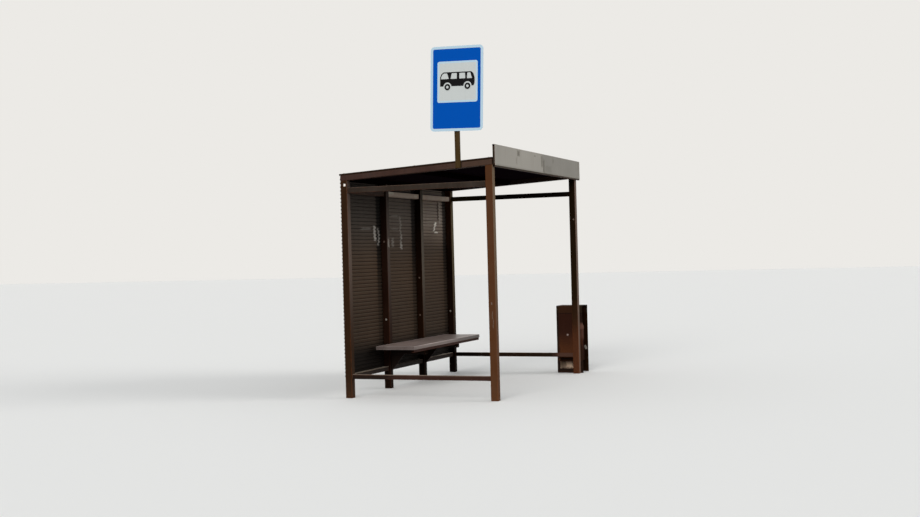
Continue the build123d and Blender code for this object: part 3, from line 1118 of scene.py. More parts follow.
@dataclass(frozen=True)
class RoundHead:
    """A domed head on a plain washer, standing on the plane z = 0."""

    radius: float
    height: float
    washer_radius: float
    washer_height: float
    dome_sides: int = 24
    dome_rings: int = 12
    washer_sides: int = 32

    def model(self, name: str) -> Piece:
        """Models one domed bolt head with its washer.

        Args:
            name: The piece's name.

        Returns:
            The bolt, pointing along +Z.
        """
        dome = Workbench.start(
            bpy.ops.mesh.primitive_uv_sphere_add, name, segments=self.dome_sides,
            ring_count=self.dome_rings, radius=self.radius,
        )
        with Workbench.editing():
            bpy.ops.mesh.select_all(action="SELECT")
            bpy.ops.mesh.bisect(
                plane_co=(0, 0, 0), plane_no=(0, 0, 1), clear_inner=True, use_fill=True
            )
            bpy.ops.mesh.select_all(action="SELECT")
            bpy.ops.transform.resize(value=(1, 1, self.height / self.radius))
            bpy.ops.transform.translate(value=(0, 0, self.washer_height))
        bpy.ops.object.shade_smooth_by_angle(angle=SMOOTH_ANGLE)
        washer = Workbench.drum(
            name + "_washer", self.washer_sides, self.washer_radius, self.washer_height,
            softened=0.3,
        )
        return Workbench.join([dome, washer], name)


SHEET_SCREW = HexBolt(0.0092, 0.005, 0.008, 0.0018, round_sides=12)


@dataclass(frozen=True)
class WeldRing:
    """A weld bead round the end of a rectangular tube, in the plane z = 0."""

    bead: float = 0.0035
    ripple: float = 0.0007
    ripples: int = 61
    steps_round: int = 96
    steps_across: int = 8
    start_radius: float = 0.5

    def model(self, name: str, width: float, height: float) -> Piece:
        """Models one bead from a ring that is drawn in to the tube's outline.

        Args:
            name: The piece's name.
            width: The tube's size along X.
            height: The tube's size along Y.

        Returns:
            The bead, in the XY plane about the origin.
        """
        ring = Workbench.start(
            bpy.ops.mesh.primitive_torus_add, name, major_segments=self.steps_round,
            minor_segments=self.steps_across, major_radius=self.start_radius,
            minor_radius=self.bead,
        )
        for vertex in ring.data.vertices:
            around = Vector((vertex.co.x, vertex.co.y, 0.0))
            way = around.normalized()
            off = around.length - self.start_radius
            reach = min(width / 2 / max(abs(way.x), 1e-6), height / 2 / max(abs(way.y), 1e-6))
            turn = math.atan2(way.y, way.x)
            swell = 1 + self.ripple / self.bead * math.sin(turn * self.ripples)
            vertex.co = way * (reach + off * swell) + Vector((0, 0, vertex.co.z * swell))
        bpy.ops.object.shade_smooth()
        return ring


@dataclass
class PostFrame:
    """The six posts and the end rails, with their paint, bolts and welds."""

    bolt: HexBolt = HexBolt()
    weld: WeldRing = WeldRing()
    seat_bolt_height: float = 0.813
    bright_bolts: int = 2
    dull_zinc: Zinc = Zinc(colour=srgb(96, 78, 66), tarnish=srgb(62, 42, 32))

    def bolt_places(self) -> list[tuple[str, float, float]]:
        """Each post's bolts, as the node, how far the bolt is off its middle, and its height."""
        return [
            ("back_mid_left_post", -0.001, self.seat_bolt_height),
            ("back_right_post", 0.004, self.seat_bolt_height),
            ("back_mid_left_post", -0.001, 1.735),
            ("back_mid_right_post", 0.002, 1.282),
            ("back_mid_right_post", 0.004, self.seat_bolt_height),
            ("front_right_post", -0.013, 1.973),
        ]

    def paints(self) -> dict[str, SteelPaint]:
        """The paint of each post and end rail, with painted light and shade in it.

        Returns:
            Each node's paint, by the node's name.
        """
        # Painted light and shade: each post's paint is a lighter or darker copy of one paint, with
        # painted light on faces towards the front, painted shade under the roof and below the seat,
        # and painted light on the upper part of the back posts at the ends.
        wall = {"front_lighting": 1.0, "rusting": 0.15}
        middle_wall = wall | {"dusting": 0.1, "specular": 0.02}
        # Painted light: lighter patches at the front end of the bottom rail and on the back part of
        # the top rail.
        far_rail = SteelPaint(
            srgb(24, 15, 7), srgb(38, 28, 18), dusting=0.3, specular=0.02,
            mark_colour=srgb(80, 55, 45), marks=(Stain((0.12, 0.235), (0.4, 0.2), 0.9),),
            patch_colour=srgb(66, 56, 22), patches=(Stain((1.55, 2.3), (0.8, 0.3), 0.9),),
        )
        scratch = Stroke((-0.012, 0.76), 0.2, 0.006, 0.004, 0.11, lean=0.06, strength=0.22)
        return {
            "front_left_post": SteelPaint(
                srgb(79, 46, 23), srgb(88, 60, 41), front=srgb(104, 88, 68), front_lighting=0.8,
                shaded_above=2.3, shading=0.15,
                marks=(Stain((0.004, 1.03), (0.016, 0.03), 0.22), scratch),
            ),
            "front_right_post": SteelPaint(
                srgb(29, 17, 4), srgb(39, 24, 9), front=srgb(108, 92, 82), front_lighting=1.0,
                front_lighting_foot=-3.0, ground=srgb(75, 38, 19), ground_dirt_and_shade=0.95, splash_height=1.2,
                specular=0.03, shading=0.2,
            ),
            "back_left_post": SteelPaint(
                srgb(38, 20, 4), srgb(46, 28, 13), front=srgb(100, 84, 74), front_lighting=1.0,
                front_lighting_foot=0.5, shaded_above=2.5, shading=-0.45,
                mark_colour=srgb(230, 222, 212), marks=(Stain((1.709, 2.362), (0.03, 0.034), 0.95),),
            ),
            "back_mid_left_post": SteelPaint(
                srgb(30, 14, 7), srgb(44, 27, 18), front=srgb(77, 66, 59), front_lighting_foot=0.5,
                dusting=0.15, shaded_above=2.0, shading=0.25, foot_shade=0.55, specular=0.03,
                marks=(Stain((1.0, 1.72), (0.05, 0.13), 0.45),), mark_axis=Axis.X, **wall,
            ),
            "back_mid_right_post": SteelPaint(
                srgb(28, 13, 4), srgb(42, 26, 13), front=srgb(92, 84, 74),
                shaded_above=2.0, shading=0.3, foot_shade=0.78, **middle_wall,
            ),
            "back_right_post": SteelPaint(
                srgb(26, 13, 6), srgb(36, 22, 13), front=srgb(88, 78, 58),
                shaded_above=2.1, shading=-8.0, foot_shade=0.8, **middle_wall,
            ),
            "left_top_rail": SteelPaint(
                srgb(44, 35, 28), srgb(64, 55, 48), dust=srgb(150, 142, 128), fading=0.7, dusting=1.0
            ),
            # A painted highlight along the top edge of the rail's side.
            "left_bottom_rail": SteelPaint(
                srgb(50, 30, 23), srgb(62, 42, 34), dust=srgb(170, 156, 142), dusting=0.9,
                splash_height=0.05, mark_colour=srgb(120, 104, 90),
                marks=(Stain((0.86, 0.259), (1.7, 0.01), 0.6),),
                patch_colour=srgb(24, 15, 9), patches=(Stain((1.5, 0.22), (0.74, 0.09), 0.9),),
            ),
            "right_top_rail": far_rail,
            "right_bottom_rail": far_rail,
        }

    def build(self, nodes: Nodes) -> None:
        """Paints the nodes and adds the bolts and welds.

        Args:
            nodes: The CAD nodes by name.
        """
        coat(nodes, self.paints())
        places = []
        for node, off, height in self.bolt_places():
            post = Extent.of(node)
            for sign, side in ((-1, post.low.x), (1, post.high.x)):
                places.append(pointing(Axis.X, sign, (side, post.middle.y + off, height)))
        bright = 2 * self.bright_bolts
        fasten(self.bolt, "post_bolts", places[:bright], "frame_paint")
        fasten(self.bolt, "dull_post_bolts", places[bright:], "frame_paint", self.dull_zinc)
        for side in ("left", "right"):
            self.build_welds(side)

    def build_welds(self, side: str) -> None:
        """Adds a weld bead round both ends of the end rails on one side.

        Args:
            side: The end of the shelter, left or right.
        """
        stood = Matrix.Rotation(math.radians(90), 4, "X")
        rings = []
        for level in ("top", "bottom"):
            rail = Extent.of(f"{side}_{level}_rail")
            for end in (rail.low.y, rail.high.y):
                ring = self.weld.model("weld", rail.size.x, rail.size.z)
                place = Matrix.Translation((rail.middle.x, end, rail.middle.z))
                ring.data.transform(place @ stood)
                rings.append(ring)
        welds = Workbench.join(rings, f"{side}_end_welds")
        node = f"{side}_top_rail"
        paint = self.paints()[node].material(f"paint_{welds.name}", Extent.of(node))
        dress(welds, paint, "frame_paint")


@dataclass
class Roof:
    """The sloping frame and its sheet, with the sheet's screws."""

    outer_paint: SteelPaint = SteelPaint(
        srgb(57, 43, 39), srgb(70, 57, 52), fading=0.7, rusting=0.12, shaded_above=UNSHADED,
        specular=0.02, mark_colour=srgb(90, 72, 58), marks=(Stain((0.1, 2.55), (1.0, 0.4), 0.35),),
    )
    # Painted shade: the beams under the sheet are painted nearly black as a shaded copy of the frame
    # paint.
    shaded_inner_paint: SteelPaint = SteelPaint(
        srgb(17, 11, 9), srgb(23, 15, 13), shaded_above=UNSHADED, specular=0.0
    )
    sheet_coat: RoofCoat = RoofCoat()
    rib_height: float = 0.02
    rib_crest: float = 0.03
    rib_pitch: float = 0.11

    def build(self, nodes: Nodes) -> None:
        """Paints the frame, coats the sheet and screws it down.

        Args:
            nodes: The CAD nodes by name.
        """
        sheet = Extent.of("roof_sheet")
        fall = (sheet.size.z - self.rib_height) / sheet.size.y
        beams = ("front_roof_beam", "roof_purlin", "back_roof_beam")
        coat(nodes, dict.fromkeys(("left_roof_beam", "right_roof_beam"), self.outer_paint), fall)
        coat(nodes, dict.fromkeys(beams, self.shaded_inner_paint), fall)
        dress(nodes["roof_sheet"], self.sheet_coat.material("finish_roof_sheet"))
        count = round((sheet.size.x - self.rib_crest) / self.rib_pitch)
        step = (sheet.size.x - self.rib_crest) / count
        tilt = Matrix.Rotation(-math.atan(fall), 4, "X")
        places = []
        for beam in beams:
            y = Extent.of(beam).middle.y
            z = sheet.high.z - fall * (y - sheet.low.y)
            for index in range(0, count + 1, 2):
                x = sheet.low.x + self.rib_crest / 2 + index * step
                places.append(Matrix.Translation((x, y, z)) @ tilt)
        fasten(SHEET_SCREW, "roof_screws", places, "roof_sheet")


@dataclass
class BackWall:
    """Rails and ribbed sheets of the back wall."""

    left_rail_paint: SteelPaint = SteelPaint(
        srgb(66, 50, 40), srgb(84, 68, 56), dusting=0.9, shaded_above=UNSHADED
    )
    # Painted light: the top rails of the middle and right bays get a near-white lit copy of the rail
    # paint, with pale spots on it.
    rail_tone: SteelPaint = SteelPaint(
        srgb(224, 203, 184), srgb(250, 236, 220), dusting=0.9, shaded_above=UNSHADED,
        mark_colour=srgb(255, 244, 226), mark_axis=Axis.X,
        marks=(Stain((1.14, 2.322), (0.2, 0.05), 1.0), Stain((1.86, 2.3), (0.12, 0.026), 0.6)),
    )
    # A painted highlight along the top edge, and painted shade from the seat on the middle bay's rail.
    foot_rail_paint: SteelPaint = SteelPaint(
        srgb(28, 19, 14), srgb(38, 28, 22), dust=srgb(170, 160, 146), dusting=1.2,
        splash_height=0.05, mark_colour=srgb(96, 84, 70), mark_axis=Axis.X,
        marks=(Stain((0.5, 0.259), (1.1, 0.01), 0.6),),
        patch_colour=srgb(20, 14, 10), patches=(Stain((1.6, 0.25), (1.1, 0.3), 0.8),),
    )
    screws_per_row: int = 6
    beam_row_drop: float = 0.011
    rib_pitch: float = 0.042
    rib_crest: float = 0.022
    sheet: float = 0.001

    def coats(self) -> dict[str, tuple[PanelCoat, str]]:
        """Each bay's coat, with its wiped lines, dark marks and painted light high up.

        Returns:
            By the bay's name, its coat and the post at its right end.
        """
        left = (
            Stroke((0.82, 1.735), 0.2, 0.055, -0.012, 0.4, lean=-0.1, strength=1.0),
            Stroke((0.875, 1.68), 0.23, 0.04, 0.035, 0.46, strength=0.6),
            Stain((0.58, 1.886), (0.3, 0.035), 0.25),
        )
        middle = (
            Stain((1.366, 2.05), (0.24, 0.026), 0.32),
            Stain((1.356, 1.89), (0.24, 0.026), 0.2),
            Stroke((1.545, 1.635), 0.44, 0.04, 0.012, 0.14, lean=-0.07, strength=0.5),
            Stain((1.53, 1.69), (0.06, 0.1), 0.75),
            Stain((1.54, 1.79), (0.07, 0.05), 0.6),
            Stain((1.52, 2.0), (0.05, 0.07), 0.4),
            Stain((1.29, 1.73), (0.08, 0.14), 0.35),
        )
        right = (
            Stain((2.62, 1.97), (0.07, 0.055), 1.0),
            Stroke((2.56, 1.87), 0.12, 0.045, lean=0.42, strength=0.95),
            Stain((2.63, 1.86), (0.13, 0.024), 0.7),
            Stroke((2.765, 1.95), 0.34, 0.04, strength=0.2),
        )
        # A dark vertical strip on the right bay. lift paints light high up on the middle and right
        # bays.
        dark_strip = (Stain((2.70, 2.14), (0.055, 0.32), 0.9),)
        right_coat = PanelCoat(marks=right, darkened=dark_strip, lift=4.0, wiped=srgb(255, 248, 236))
        return {
            "left": (PanelCoat(marks=left), "back_mid_left_post"),
            "middle": (PanelCoat(marks=middle, lift=1.1), "back_mid_right_post"),
            "right": (right_coat, "back_right_post"),
        }

    def build(self, nodes: Nodes) -> None:
        """Coats the sheets, paints the rails and adds the screws on the outside.

        Args:
            nodes: The CAD nodes by name.
        """
        places = []
        for bay, (finish, post) in self.coats().items():
            name = f"back_panel_{bay}"
            dress(nodes[name], finish.material(f"finish_{name}", Extent.of(post).low.x))
            sheet = Extent.of(name)
            places += self.screw_row(sheet, sheet.high.z - self.beam_row_drop)
            top_paint = self.left_rail_paint if bay == "left" else self.rail_tone
            for level, paint in (("top", top_paint), ("bottom", self.foot_rail_paint)):
                rail = f"back_{level}_rail_{bay}"
                coat(nodes, {rail: paint})
                places += self.screw_row(sheet, Extent.of(rail).middle.z)
        fasten(SHEET_SCREW, "wall_screws", places, "wall_panel")

    def screw_row(self, sheet: Extent, level: float) -> list[Matrix]:
        """Places for a row of screws where the sheet touches the frame.

        Args:
            sheet: The sheet's box.
            level: About how high the row is.

        Returns:
            Each screw's place, on the rib that is nearest to that height.
        """
        rise = sheet.size.z - self.rib_crest
        pitch = rise / round(rise / self.rib_pitch)
        rib = round((level - sheet.low.z - self.rib_crest / 2) / pitch)
        z = sheet.low.z + self.rib_crest / 2 + rib * pitch
        gap = sheet.size.x / self.screws_per_row
        row = []
        for index in range(self.screws_per_row):
            x = sheet.low.x + gap * (index + 0.5)
            row.append(pointing(Axis.Y, 1, (x, sheet.low.y + self.sheet, z)))
        return row


@dataclass
class FasciaBoard:
    """The pale board over the open front and its tube frame."""

    left_paint: SheetPaint = SheetPaint(
        seam_and_shadow_lines=(0.693,),
        marks=(
            Stain((0.74, 2.665), (0.09, 0.075), 0.75),
            Stain((0.67, 2.58), (0.06, 0.09), 0.3),
            Stain((1.31, 2.675), (0.06, 0.022), 0.5),
            Stain((1.565, 2.63), (0.08, 0.18), 0.6),
        ),
    )
    right_paint: SheetPaint = SheetPaint(
        colour=srgb(136, 132, 124),
        marks=(
            Stain((1.63, 2.57), (0.08, 0.2), 0.65),
            Stain((1.8, 2.55), (0.3, 0.09), 0.28),
            Stain((2.0, 2.655), (0.05, 0.06), 0.45),
        ),
    )
    frame_paint: SteelPaint = SteelPaint(
        srgb(40, 34, 26), srgb(62, 58, 52), shaded_above=UNSHADED
    )
    screw: RoundHead = RoundHead(0.004, 0.0025, 0.0055, 0.0008)
    screw_gap: float = 0.36
    screw_inset: float = 0.013

    def build(self, nodes: Nodes) -> None:
        """Paints the board and its frame and adds the sheet screws.

        Args:
            nodes: The CAD nodes by name.
        """
        sheets = {"fascia_left": self.left_paint, "fascia_right": self.right_paint}
        coat(nodes, sheets)
        frame = ("top_rail", "bottom_rail", "upright_left", "upright_middle", "upright_right")
        coat(nodes, {f"fascia_{part}": self.frame_paint for part in frame})
        places = []
        for node in sheets:
            sheet = Extent.of(node)
            count = max(2, round(sheet.size.x / self.screw_gap))
            gap = (sheet.size.x - 2 * self.screw_inset) / count
            for index in range(count + 1):
                x = sheet.low.x + self.screw_inset + gap * index
                for z in (sheet.low.z + self.screw_inset / 2, sheet.high.z - self.screw_inset):
                    places.append(pointing(Axis.Y, -1, (x, sheet.low.y, z)))
        fasten(self.screw, "fascia_screws", places, "fascia_sheet")


@dataclass
class WallBench:
    """The bench board, its front rail and its brackets."""

    board: BoardFinish = BoardFinish()
    rail_tone: SteelPaint = SteelPaint(srgb(38, 20, 15), srgb(47, 29, 23))
    bracket_paint: SteelPaint = SteelPaint(srgb(24, 14, 9), srgb(32, 22, 16))

    def build(self, nodes: Nodes) -> None:
        """Stains the board and paints the steel under it.

        Args:
            nodes: The CAD nodes by name.
        """
        coat(nodes, {"bench_seat": self.board, "bench_front_rail": self.rail_tone})
        brackets = ("bench_bracket_left", "bench_bracket_right")
        coat(nodes, dict.fromkeys(brackets, self.bracket_paint))


@dataclass(frozen=True)
class CatchPlate:
    """A small pressed plate with a domed rivet, standing on the plane z = 0."""

    width: float = 0.028
    length: float = 0.054
    thickness: float = 0.003
    rivet: RoundHead = RoundHead(0.006, 0.004, 0.008, 0.001)

    def model(self, name: str) -> Piece:
        """Models the plate and its rivet.

        Args:
            name: The piece's name.

        Returns:
            The plate, facing +Z with its length along Y.
        """
        plate = Workbench.slab(name, self.width, self.length, self.thickness)
        Workbench.press_top(plate, self.width * 0.2, -self.thickness * 0.4)
        Workbench.round_edges(plate, self.thickness * 0.3, steps=2)
        rivet = self.rivet.model(name + "_rivet")
        rivet.data.transform(Matrix.Translation((0, 0, self.thickness * 0.6)))
        return Workbench.join([plate, rivet], name)


@dataclass
class LitterBin:
    """The bin's sheets, its pale bolt on the near side and its catch on the far side."""

    # Painted shade: dark marks at the foot, along the rear corner and along the front edge, a painted
    # highlight on the front edge, and a painted shadow line under the hood.
    side_paint: SteelPaint = SteelPaint(
        srgb(42, 16, 5), srgb(54, 27, 16), ground=srgb(76, 37, 12), mark_colour=srgb(27, 15, 8),
        rusting=0.25, ground_dirt_and_shade=1.1, splash_height=0.72,
        marks=(
            Stain((0.1, 0.08), (0.6, 0.24), 1.0),
            Stain((0.275, 0.45), (0.09, 1.4), 0.8),
            Stain((-0.075, 0.74), (0.1, 0.24), 0.9),
            Stain((-0.075, 0.2), (0.1, 0.5), 0.85),
        ),
        patch_colour=srgb(96, 66, 55),
        patches=(Stain((-0.075, 0.6), (0.1, 0.11), 0.95), Stain((-0.075, 0.5), (0.1, 0.14), 0.4)),
        seam_and_shadow_lines=(0.766,),
    )
    # Painted shade along the rear corner and the front edge, and a painted shadow line at the hood's
    # foot.
    hood_paint: SteelPaint = SteelPaint(
        srgb(47, 22, 6), srgb(57, 35, 20), mark_colour=srgb(32, 23, 10), rusting=0.2,
        marks=(Stain((0.275, 0.82), (0.09, 0.2), 0.7), Stain((-0.075, 0.8), (0.1, 0.3), 0.9)),
        seam_and_shadow_lines=(0.77,),
    )
    # Painted shade on faces towards the front and low down, and a painted highlight on the front lip.
    body_paint: SteelPaint = SteelPaint(
        srgb(50, 30, 23), srgb(66, 48, 40), front=srgb(40, 22, 17), front_lighting=2.5, front_lighting_foot=-1.0,
        ground=srgb(15, 5, 3), ground_dirt_and_shade=2.2, splash_height=0.4, fading=0.8, rusting=0.1,
        dusting=0.1, mark_axis=Axis.X, specular=0.01, patch_colour=srgb(104, 74, 62),
        patches=(Stain((3.16, 0.6), (0.4, 0.12), 0.95), Stain((3.16, 0.49), (0.4, 0.16), 0.45)),
    )
    far_paint: SteelPaint = SteelPaint(
        srgb(34, 17, 5), srgb(40, 24, 11), mark_colour=srgb(244, 212, 182), rusting=0.3,
        dusting=0.1, splash_height=0.1, specular=0.0, marked_inside=True,
        marks=(Stain((0.24, 0.09), (0.28, 0.13), 0.55), Stain((0.19, 0.09), (0.12, 0.12), 0.95)),
    )
    bolt: RoundHead = RoundHead(0.0095, 0.006, 0.0135, 0.0015)
    bolt_zinc: Zinc = Zinc(colour=srgb(150, 132, 124))
    near_bolt: Place = (0.128, 0.49)
    catch: CatchPlate = CatchPlate()
    catch_turn: float = math.radians(24)
    far_catch: Place = (-0.036, 0.314)
    plate: float = 0.003

    def build(self, nodes: Nodes) -> None:
        """Paints the bin and adds its bolt and its catch.

        Args:
            nodes: The CAD nodes by name.
        """
        sheets = {"bin_side_left": self.side_paint, "bin_side_right": self.far_paint}
        coat(nodes, sheets | {"bin_hood": self.hood_paint, "bin_body": self.body_paint})
        near_face = Extent.of("bin_side_left").low.x
        far_face = Extent.of("bin_side_right").high.x - self.plate
        bolt_place = pointing(Axis.X, -1, (near_face, *self.near_bolt))
        catch_place = pointing(Axis.X, -1, (far_face, *self.far_catch))
        turned = catch_place @ Matrix.Rotation(self.catch_turn, 4, "Z")
        fasten(self.bolt, "bin_bolt", [bolt_place], "bin_paint", self.bolt_zinc)
        fasten(self.catch, "bin_catch", [turned], "bin_paint")


Fixing = HexBolt | RoundHead | CatchPlate


@dataclass
class StopSign:
    """The sign's pipe and fixings, and the printed face of its plate."""

    size: Place = (0.6, 0.9)
    corner: float = 0.045
    corner_steps: int = 8
    border: float = 0.028
    film: float = 0.0006
    tilt: float = math.radians(2.0)
    square: Place = (0.459, 0.436)
    square_centre: Place = (0.009, 0.072)
    square_corner: float = 0.022
    square_edge: float = 0.02
    pane_sill: float = 0.031
    pane_head: float = 0.091
    wheels: tuple[Place, Place] = ((-0.114, -0.055), (0.115, -0.05))
    arch_radius: float = 0.045
    arch_rise: float = 0.004
    tyre_radius: float = 0.034
    hub_radius: float = 0.014
    disc_sides: int = 48
    pipe_paint: SteelPaint = SteelPaint(
        srgb(60, 43, 16), srgb(73, 57, 34), shaded_above=UNSHADED
    )
    blue: Enamel = Enamel(srgb(0, 81, 177), specular=0.02)
    white: Enamel = Enamel(srgb(188, 213, 227))
    field_white: Enamel = Enamel(srgb(203, 207, 204))
    black: Enamel = Enamel(srgb(12, 10, 12))

    def build(self, nodes: Nodes) -> None:
        """Paints the pipe and its fixings and lays the printed films on the plate.

        Args:
            nodes: The CAD nodes by name.
        """
        dress(nodes["sign_plate"], self.blue.material("enamel_sign_plate"))
        coat(nodes, {"sign_post": self.pipe_paint})
        for part in ("channel_lower", "clamp_lower", "channel_upper", "clamp_upper"):
            dress(nodes[f"sign_{part}"], Zinc().material(f"zinc_sign_{part}"))
        inner = [side - 2 * self.square_edge for side in self.square]
        centre = self.square_centre
        for name, at, enamel, size, corner, rim in (
            ("sign_border", (0.0, 0.0), self.white, self.size, self.corner, self.border),
            ("sign_square_edge", centre, self.white, self.square, self.square_corner,
             self.square_edge),
            ("sign_square", centre, self.field_white, inner, self.square_corner / 4, 0.0),
        ):
            film = self.film_sheet(name, size, corner, rim)
            self.place(film, at, 1)
            self.tint(film, enamel)
        self.build_bus()

    @staticmethod
    def tint(film: Piece, enamel: Enamel) -> None:
        """Gives a film its hue."""
        dress(film, enamel.material(f"enamel_{film.name}"), "sign_face")

    def place(self, film: Piece, centre: Place, layer: int) -> None:
        """Moves a film from the plane z = 0 onto the plate's front.

        Args:
            film: The film, modelled in the XY plane as it is read, facing +Z.
            centre: Its centre on the plate, to the right and up as it is read.
            layer: 1 on the plate, 2 and more on other films.
        """
        plate = Extent.of("sign_plate")
        read = Matrix(((0, 0, -1, 0), (-1, 0, 0, 0), (0, 1, 0, 0), (0, 0, 0, 1)))
        turn = Matrix.Rotation(self.tilt, 4, "X")
        front = (plate.low.x - self.film * (layer - 1), plate.middle.y, plate.middle.z)
        shift = Matrix.Translation((*centre, 0.0))
        film.data.transform(Matrix.Translation(front) @ turn @ read @ shift)
        film.data.update()

    def film_sheet(
        self, name: str, size: Iterable[float], corner: float, rim: float = 0.0
    ) -> Piece:
        """Models a thin sheet or frame with rounded corners.

        Args:
            name: The piece's name.
            size: Its width and height.
            corner: The radius of its corners.
            rim: How wide the band of a frame is, or 0 for a whole sheet.

        Returns:
            The sheet, standing on z = 0 and facing +Z.
        """
        sheet = Workbench.slab(name, *size, self.film)

        def upright(edge: bmesh.types.BMEdge) -> bool:
            """Whether an edge runs through the sheet."""
            return abs(edge.verts[1].co.z - edge.verts[0].co.z) > self.film / 2

        with Workbench.editing():
            Workbench.pick(sheet, "EDGE", upright)
            bpy.ops.mesh.bevel(offset=corner, segments=self.corner_steps)
            if rim:
                Workbench.pick(sheet, "FACE", lambda face: abs(face.normal.z) > LEVEL)
                bpy.ops.mesh.inset(thickness=rim, use_individual=True)
                bpy.ops.mesh.bridge_edge_loops()
                bpy.ops.mesh.select_all(action="SELECT")
                bpy.ops.mesh.normals_make_consistent(inside=False)
        return sheet

    def build_bus(self) -> None:
        """Models the generic bus symbol: body, window panes and wheels."""
        outline = (
            (-0.198, -0.047), (-0.198, 0.05), (-0.186, 0.082), (-0.16, 0.103), (0.158, 0.103),
            (0.18, 0.084), (0.196, 0.038), (0.196, -0.02), (0.184, -0.047),
        )
        self.tint(self.symbol_part("bus_body", outline, 2), self.black)
        sill = self.pane_sill
        head = self.pane_head
        glazing = {
            "front_pane": (
                (-0.187, sill), (-0.185, 0.056), (-0.172, 0.08), (-0.154, head), (-0.118, head),
                (-0.098, sill),
            ),
            "second_pane": ((-0.078, sill), (-0.064, head), (-0.007, head), (-0.007, sill)),
            "third_pane": ((0.022, sill), (0.022, head), (0.086, head), (0.09, sill)),
            "rear_pane": ((0.108, sill), (0.114, head), (0.146, head), (0.166, sill)),
        }
        panes = [self.symbol_part(name, corners, 3) for name, corners in glazing.items()]
        self.tint(Workbench.join(panes, "bus_panes"), self.field_white)
        pale = []
        tyres = []
        for across, up in self.wheels:
            pale.append(self.disc("arch", (across, up + self.arch_rise), self.arch_radius, 3))
            tyres.append(self.disc("tyre", (across, up), self.tyre_radius, 4))
            pale.append(self.disc("hub", (across, up), self.hub_radius, 5))
        self.tint(Workbench.join(pale, "bus_wheel_gaps"), self.field_white)
        self.tint(Workbench.join(tyres, "bus_wheels"), self.black)

    def symbol_part(
        self, name: str, outline: tuple[Place, ...], layer: int, corner: float = 0.005
    ) -> Piece:
        """Models one flat part of the symbol and lays it on the plate.

        Args:
            name: The piece's name.
            outline: Its corners, from the white square's centre to the right and up.
            layer: The film layer that it lies on.
            corner: How far its corners are rounded.

        Returns:
            The part, in place.
        """
        part = Workbench.start(
            bpy.ops.mesh.primitive_circle_add, name, vertices=len(outline), fill_type="NGON"
        )
        for vertex, (across, up) in zip(part.data.vertices, outline):
            vertex.co = (across, up, 0.0)
        with Workbench.editing():
            bpy.ops.mesh.select_all(action="SELECT")
            bpy.ops.mesh.bevel(offset=corner, segments=3, affect="VERTICES")
            bpy.ops.mesh.select_all(action="SELECT")
            bpy.ops.mesh.extrude_region_move(TRANSFORM_OT_translate={"value": (0, 0, self.film)})
            bpy.ops.mesh.select_all(action="SELECT")
            bpy.ops.mesh.normals_make_consistent(inside=False)
        self.place(part, self.square_centre, layer)
        return part

    def disc(self, name: str, centre: Place, radius: float, layer: int) -> Piece:
        """Models a thin disc of the symbol and lays it on the plate.

        Args:
            name: The piece's name.
            centre: Its centre, from the white square's centre to the right and up.
            radius: Its radius.
            layer: The film layer that it lies on.

        Returns:
            The disc, in place.
        """
        disc = Workbench.drum(name, self.disc_sides, radius, self.film, softened=0.3)
        across, up = self.square_centre
        self.place(disc, (across + centre[0], up + centre[1]), layer)
        return disc


@dataclass
class Viewpoint:
    """The camera at the photograph's place, worked out from the object's real sizes."""

    place: Triple = (-12.228, -4.592, 1.540)
    azimuth: float = 22.075
    pitch: float = -0.105
    roll: float = -1.495
    focal_pixels: float = 1233.4
    image_width: int = 920
    sensor: float = 36.0
    reach: float = 200.0

    def build(self) -> None:
        """Adds the camera and makes it the scene's own."""
        azimuth, pitch, roll = map(math.radians, (self.azimuth, self.pitch, self.roll))
        level = math.cos(pitch)
        ahead = Vector((math.cos(azimuth) * level, math.sin(azimuth) * level, math.sin(pitch)))
        right = Vector((math.sin(azimuth), -math.cos(azimuth), 0.0))
        up = right.cross(ahead)
        rolled_right = right * math.cos(roll) + up * math.sin(roll)
        rolled_up = up * math.cos(roll) - right * math.sin(roll)
        turn = Matrix((rolled_right, rolled_up, -ahead)).transposed().to_4x4()
        lens = bpy.data.cameras.new("viewpoint")
        lens.sensor_width = self.sensor
        lens.sensor_fit = "HORIZONTAL"
        lens.lens = self.focal_pixels / self.image_width * self.sensor
        lens.clip_end = self.reach
        camera = bpy.data.objects.new("viewpoint", lens)
        camera.matrix_world = Matrix.Translation(self.place) @ turn
        bpy.context.scene.collection.objects.link(camera)
        bpy.context.scene.camera = camera
        LOG.info("camera placed at %s", self.place)


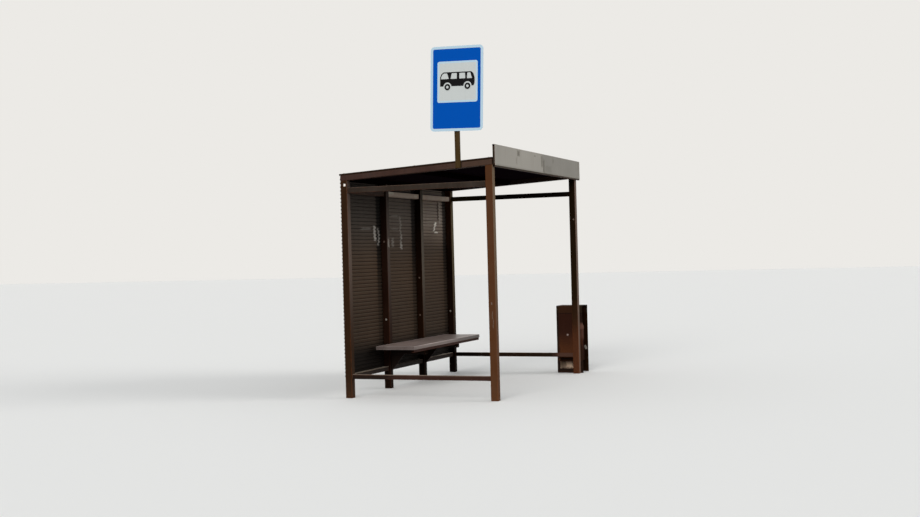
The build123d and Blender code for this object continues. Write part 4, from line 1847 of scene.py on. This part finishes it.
@dataclass
class Studio:
    """A plain pale floor, a pale surround and soft lamps."""

    floor_size: float = 160.0
    floor_drop: float = 0.002
    floor_roughness: float = 0.9
    pale: Colour = srgb(236, 234, 230)
    bounce: Colour = srgb(58, 54, 50)
    dome: Colour = (0.9, 0.95, 1.0)
    dome_strength: float = 0.6
    dome_foot: float = 0.3
    front_light: float = 1.6
    end_light: float = 2.3
    lamp_width: float = math.radians(35)

    def build(self) -> None:
        """Adds the floor, the surround and the lamps."""
        self.build_floor()
        self.build_surround()
        self.lamp("front_lamp", (-0.2, 0.95, -0.3), self.front_light)
        self.lamp("end_lamp", (0.92, 0.1, -0.38), self.end_light)
        bpy.context.scene.view_settings.view_transform = "Standard"

    def build_floor(self) -> None:
        """Lays the floor, which looks pale and throws back a little less light."""
        drop = (0, 0, -self.floor_drop)
        floor = Workbench.start(
            bpy.ops.mesh.primitive_plane_add, "floor", size=self.floor_size, location=drop
        )
        recipe = Recipe("floor")
        colour = recipe.blend(self.bounce, self.pale, recipe.seen())
        floor.data.materials.append(recipe.finish(colour, self.floor_roughness))

    def build_surround(self) -> None:
        """Makes the world pale to look at, and a soft dome of light from above."""
        recipe = Recipe("surround", world=True)
        bpy.context.scene.world = recipe.owner
        height = recipe.axes(recipe.source("ShaderNodeTexCoord", "Generated"))[Axis.Z.value]
        glow = self.dome_foot + height.rise(0.0, 0.75) * (1 - self.dome_foot)
        light = {"Color": self.dome, "Strength": glow * self.dome_strength}
        looks = {"Color": self.pale, "Strength": 1.0}
        shaders = (recipe.node("ShaderNodeBackground", {}, kind) for kind in (light, looks))
        lit, shown = (shader.outputs[0] for shader in shaders)
        mix = recipe.node("ShaderNodeMixShader", {}, {0: recipe.seen(), 1: lit, 2: shown})
        recipe.node("ShaderNodeOutputWorld", {}, {0: mix.outputs[0]})

    def lamp(self, name: str, way: Triple, strength: float) -> None:
        """Adds a wide, even lamp that lights everything from one side.

        Args:
            name: The lamp's name.
            way: The way that its light goes.
            strength: Its light, in watts on a square metre.
        """
        light = bpy.data.lights.new(name, "SUN")
        light.energy = strength
        light.angle = self.lamp_width
        lamp = bpy.data.objects.new(name, light)
        lamp.rotation_euler = Vector(way).to_track_quat("-Z", "Y").to_euler()
        bpy.context.scene.collection.objects.link(lamp)


def main() -> None:
    """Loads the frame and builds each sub-assembly in order."""
    logging.basicConfig(level=logging.INFO, format="%(name)s: %(message)s")
    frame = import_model()
    nodes = frame["nodes"]
    Viewpoint().build()
    Studio().build()
    for part in (PostFrame(), Roof(), BackWall(), FasciaBoard(), WallBench(), LitterBin(), StopSign()):
        part.build(nodes)
        LOG.info("built %s", type(part).__name__)


if __name__ == "__main__":
    main()
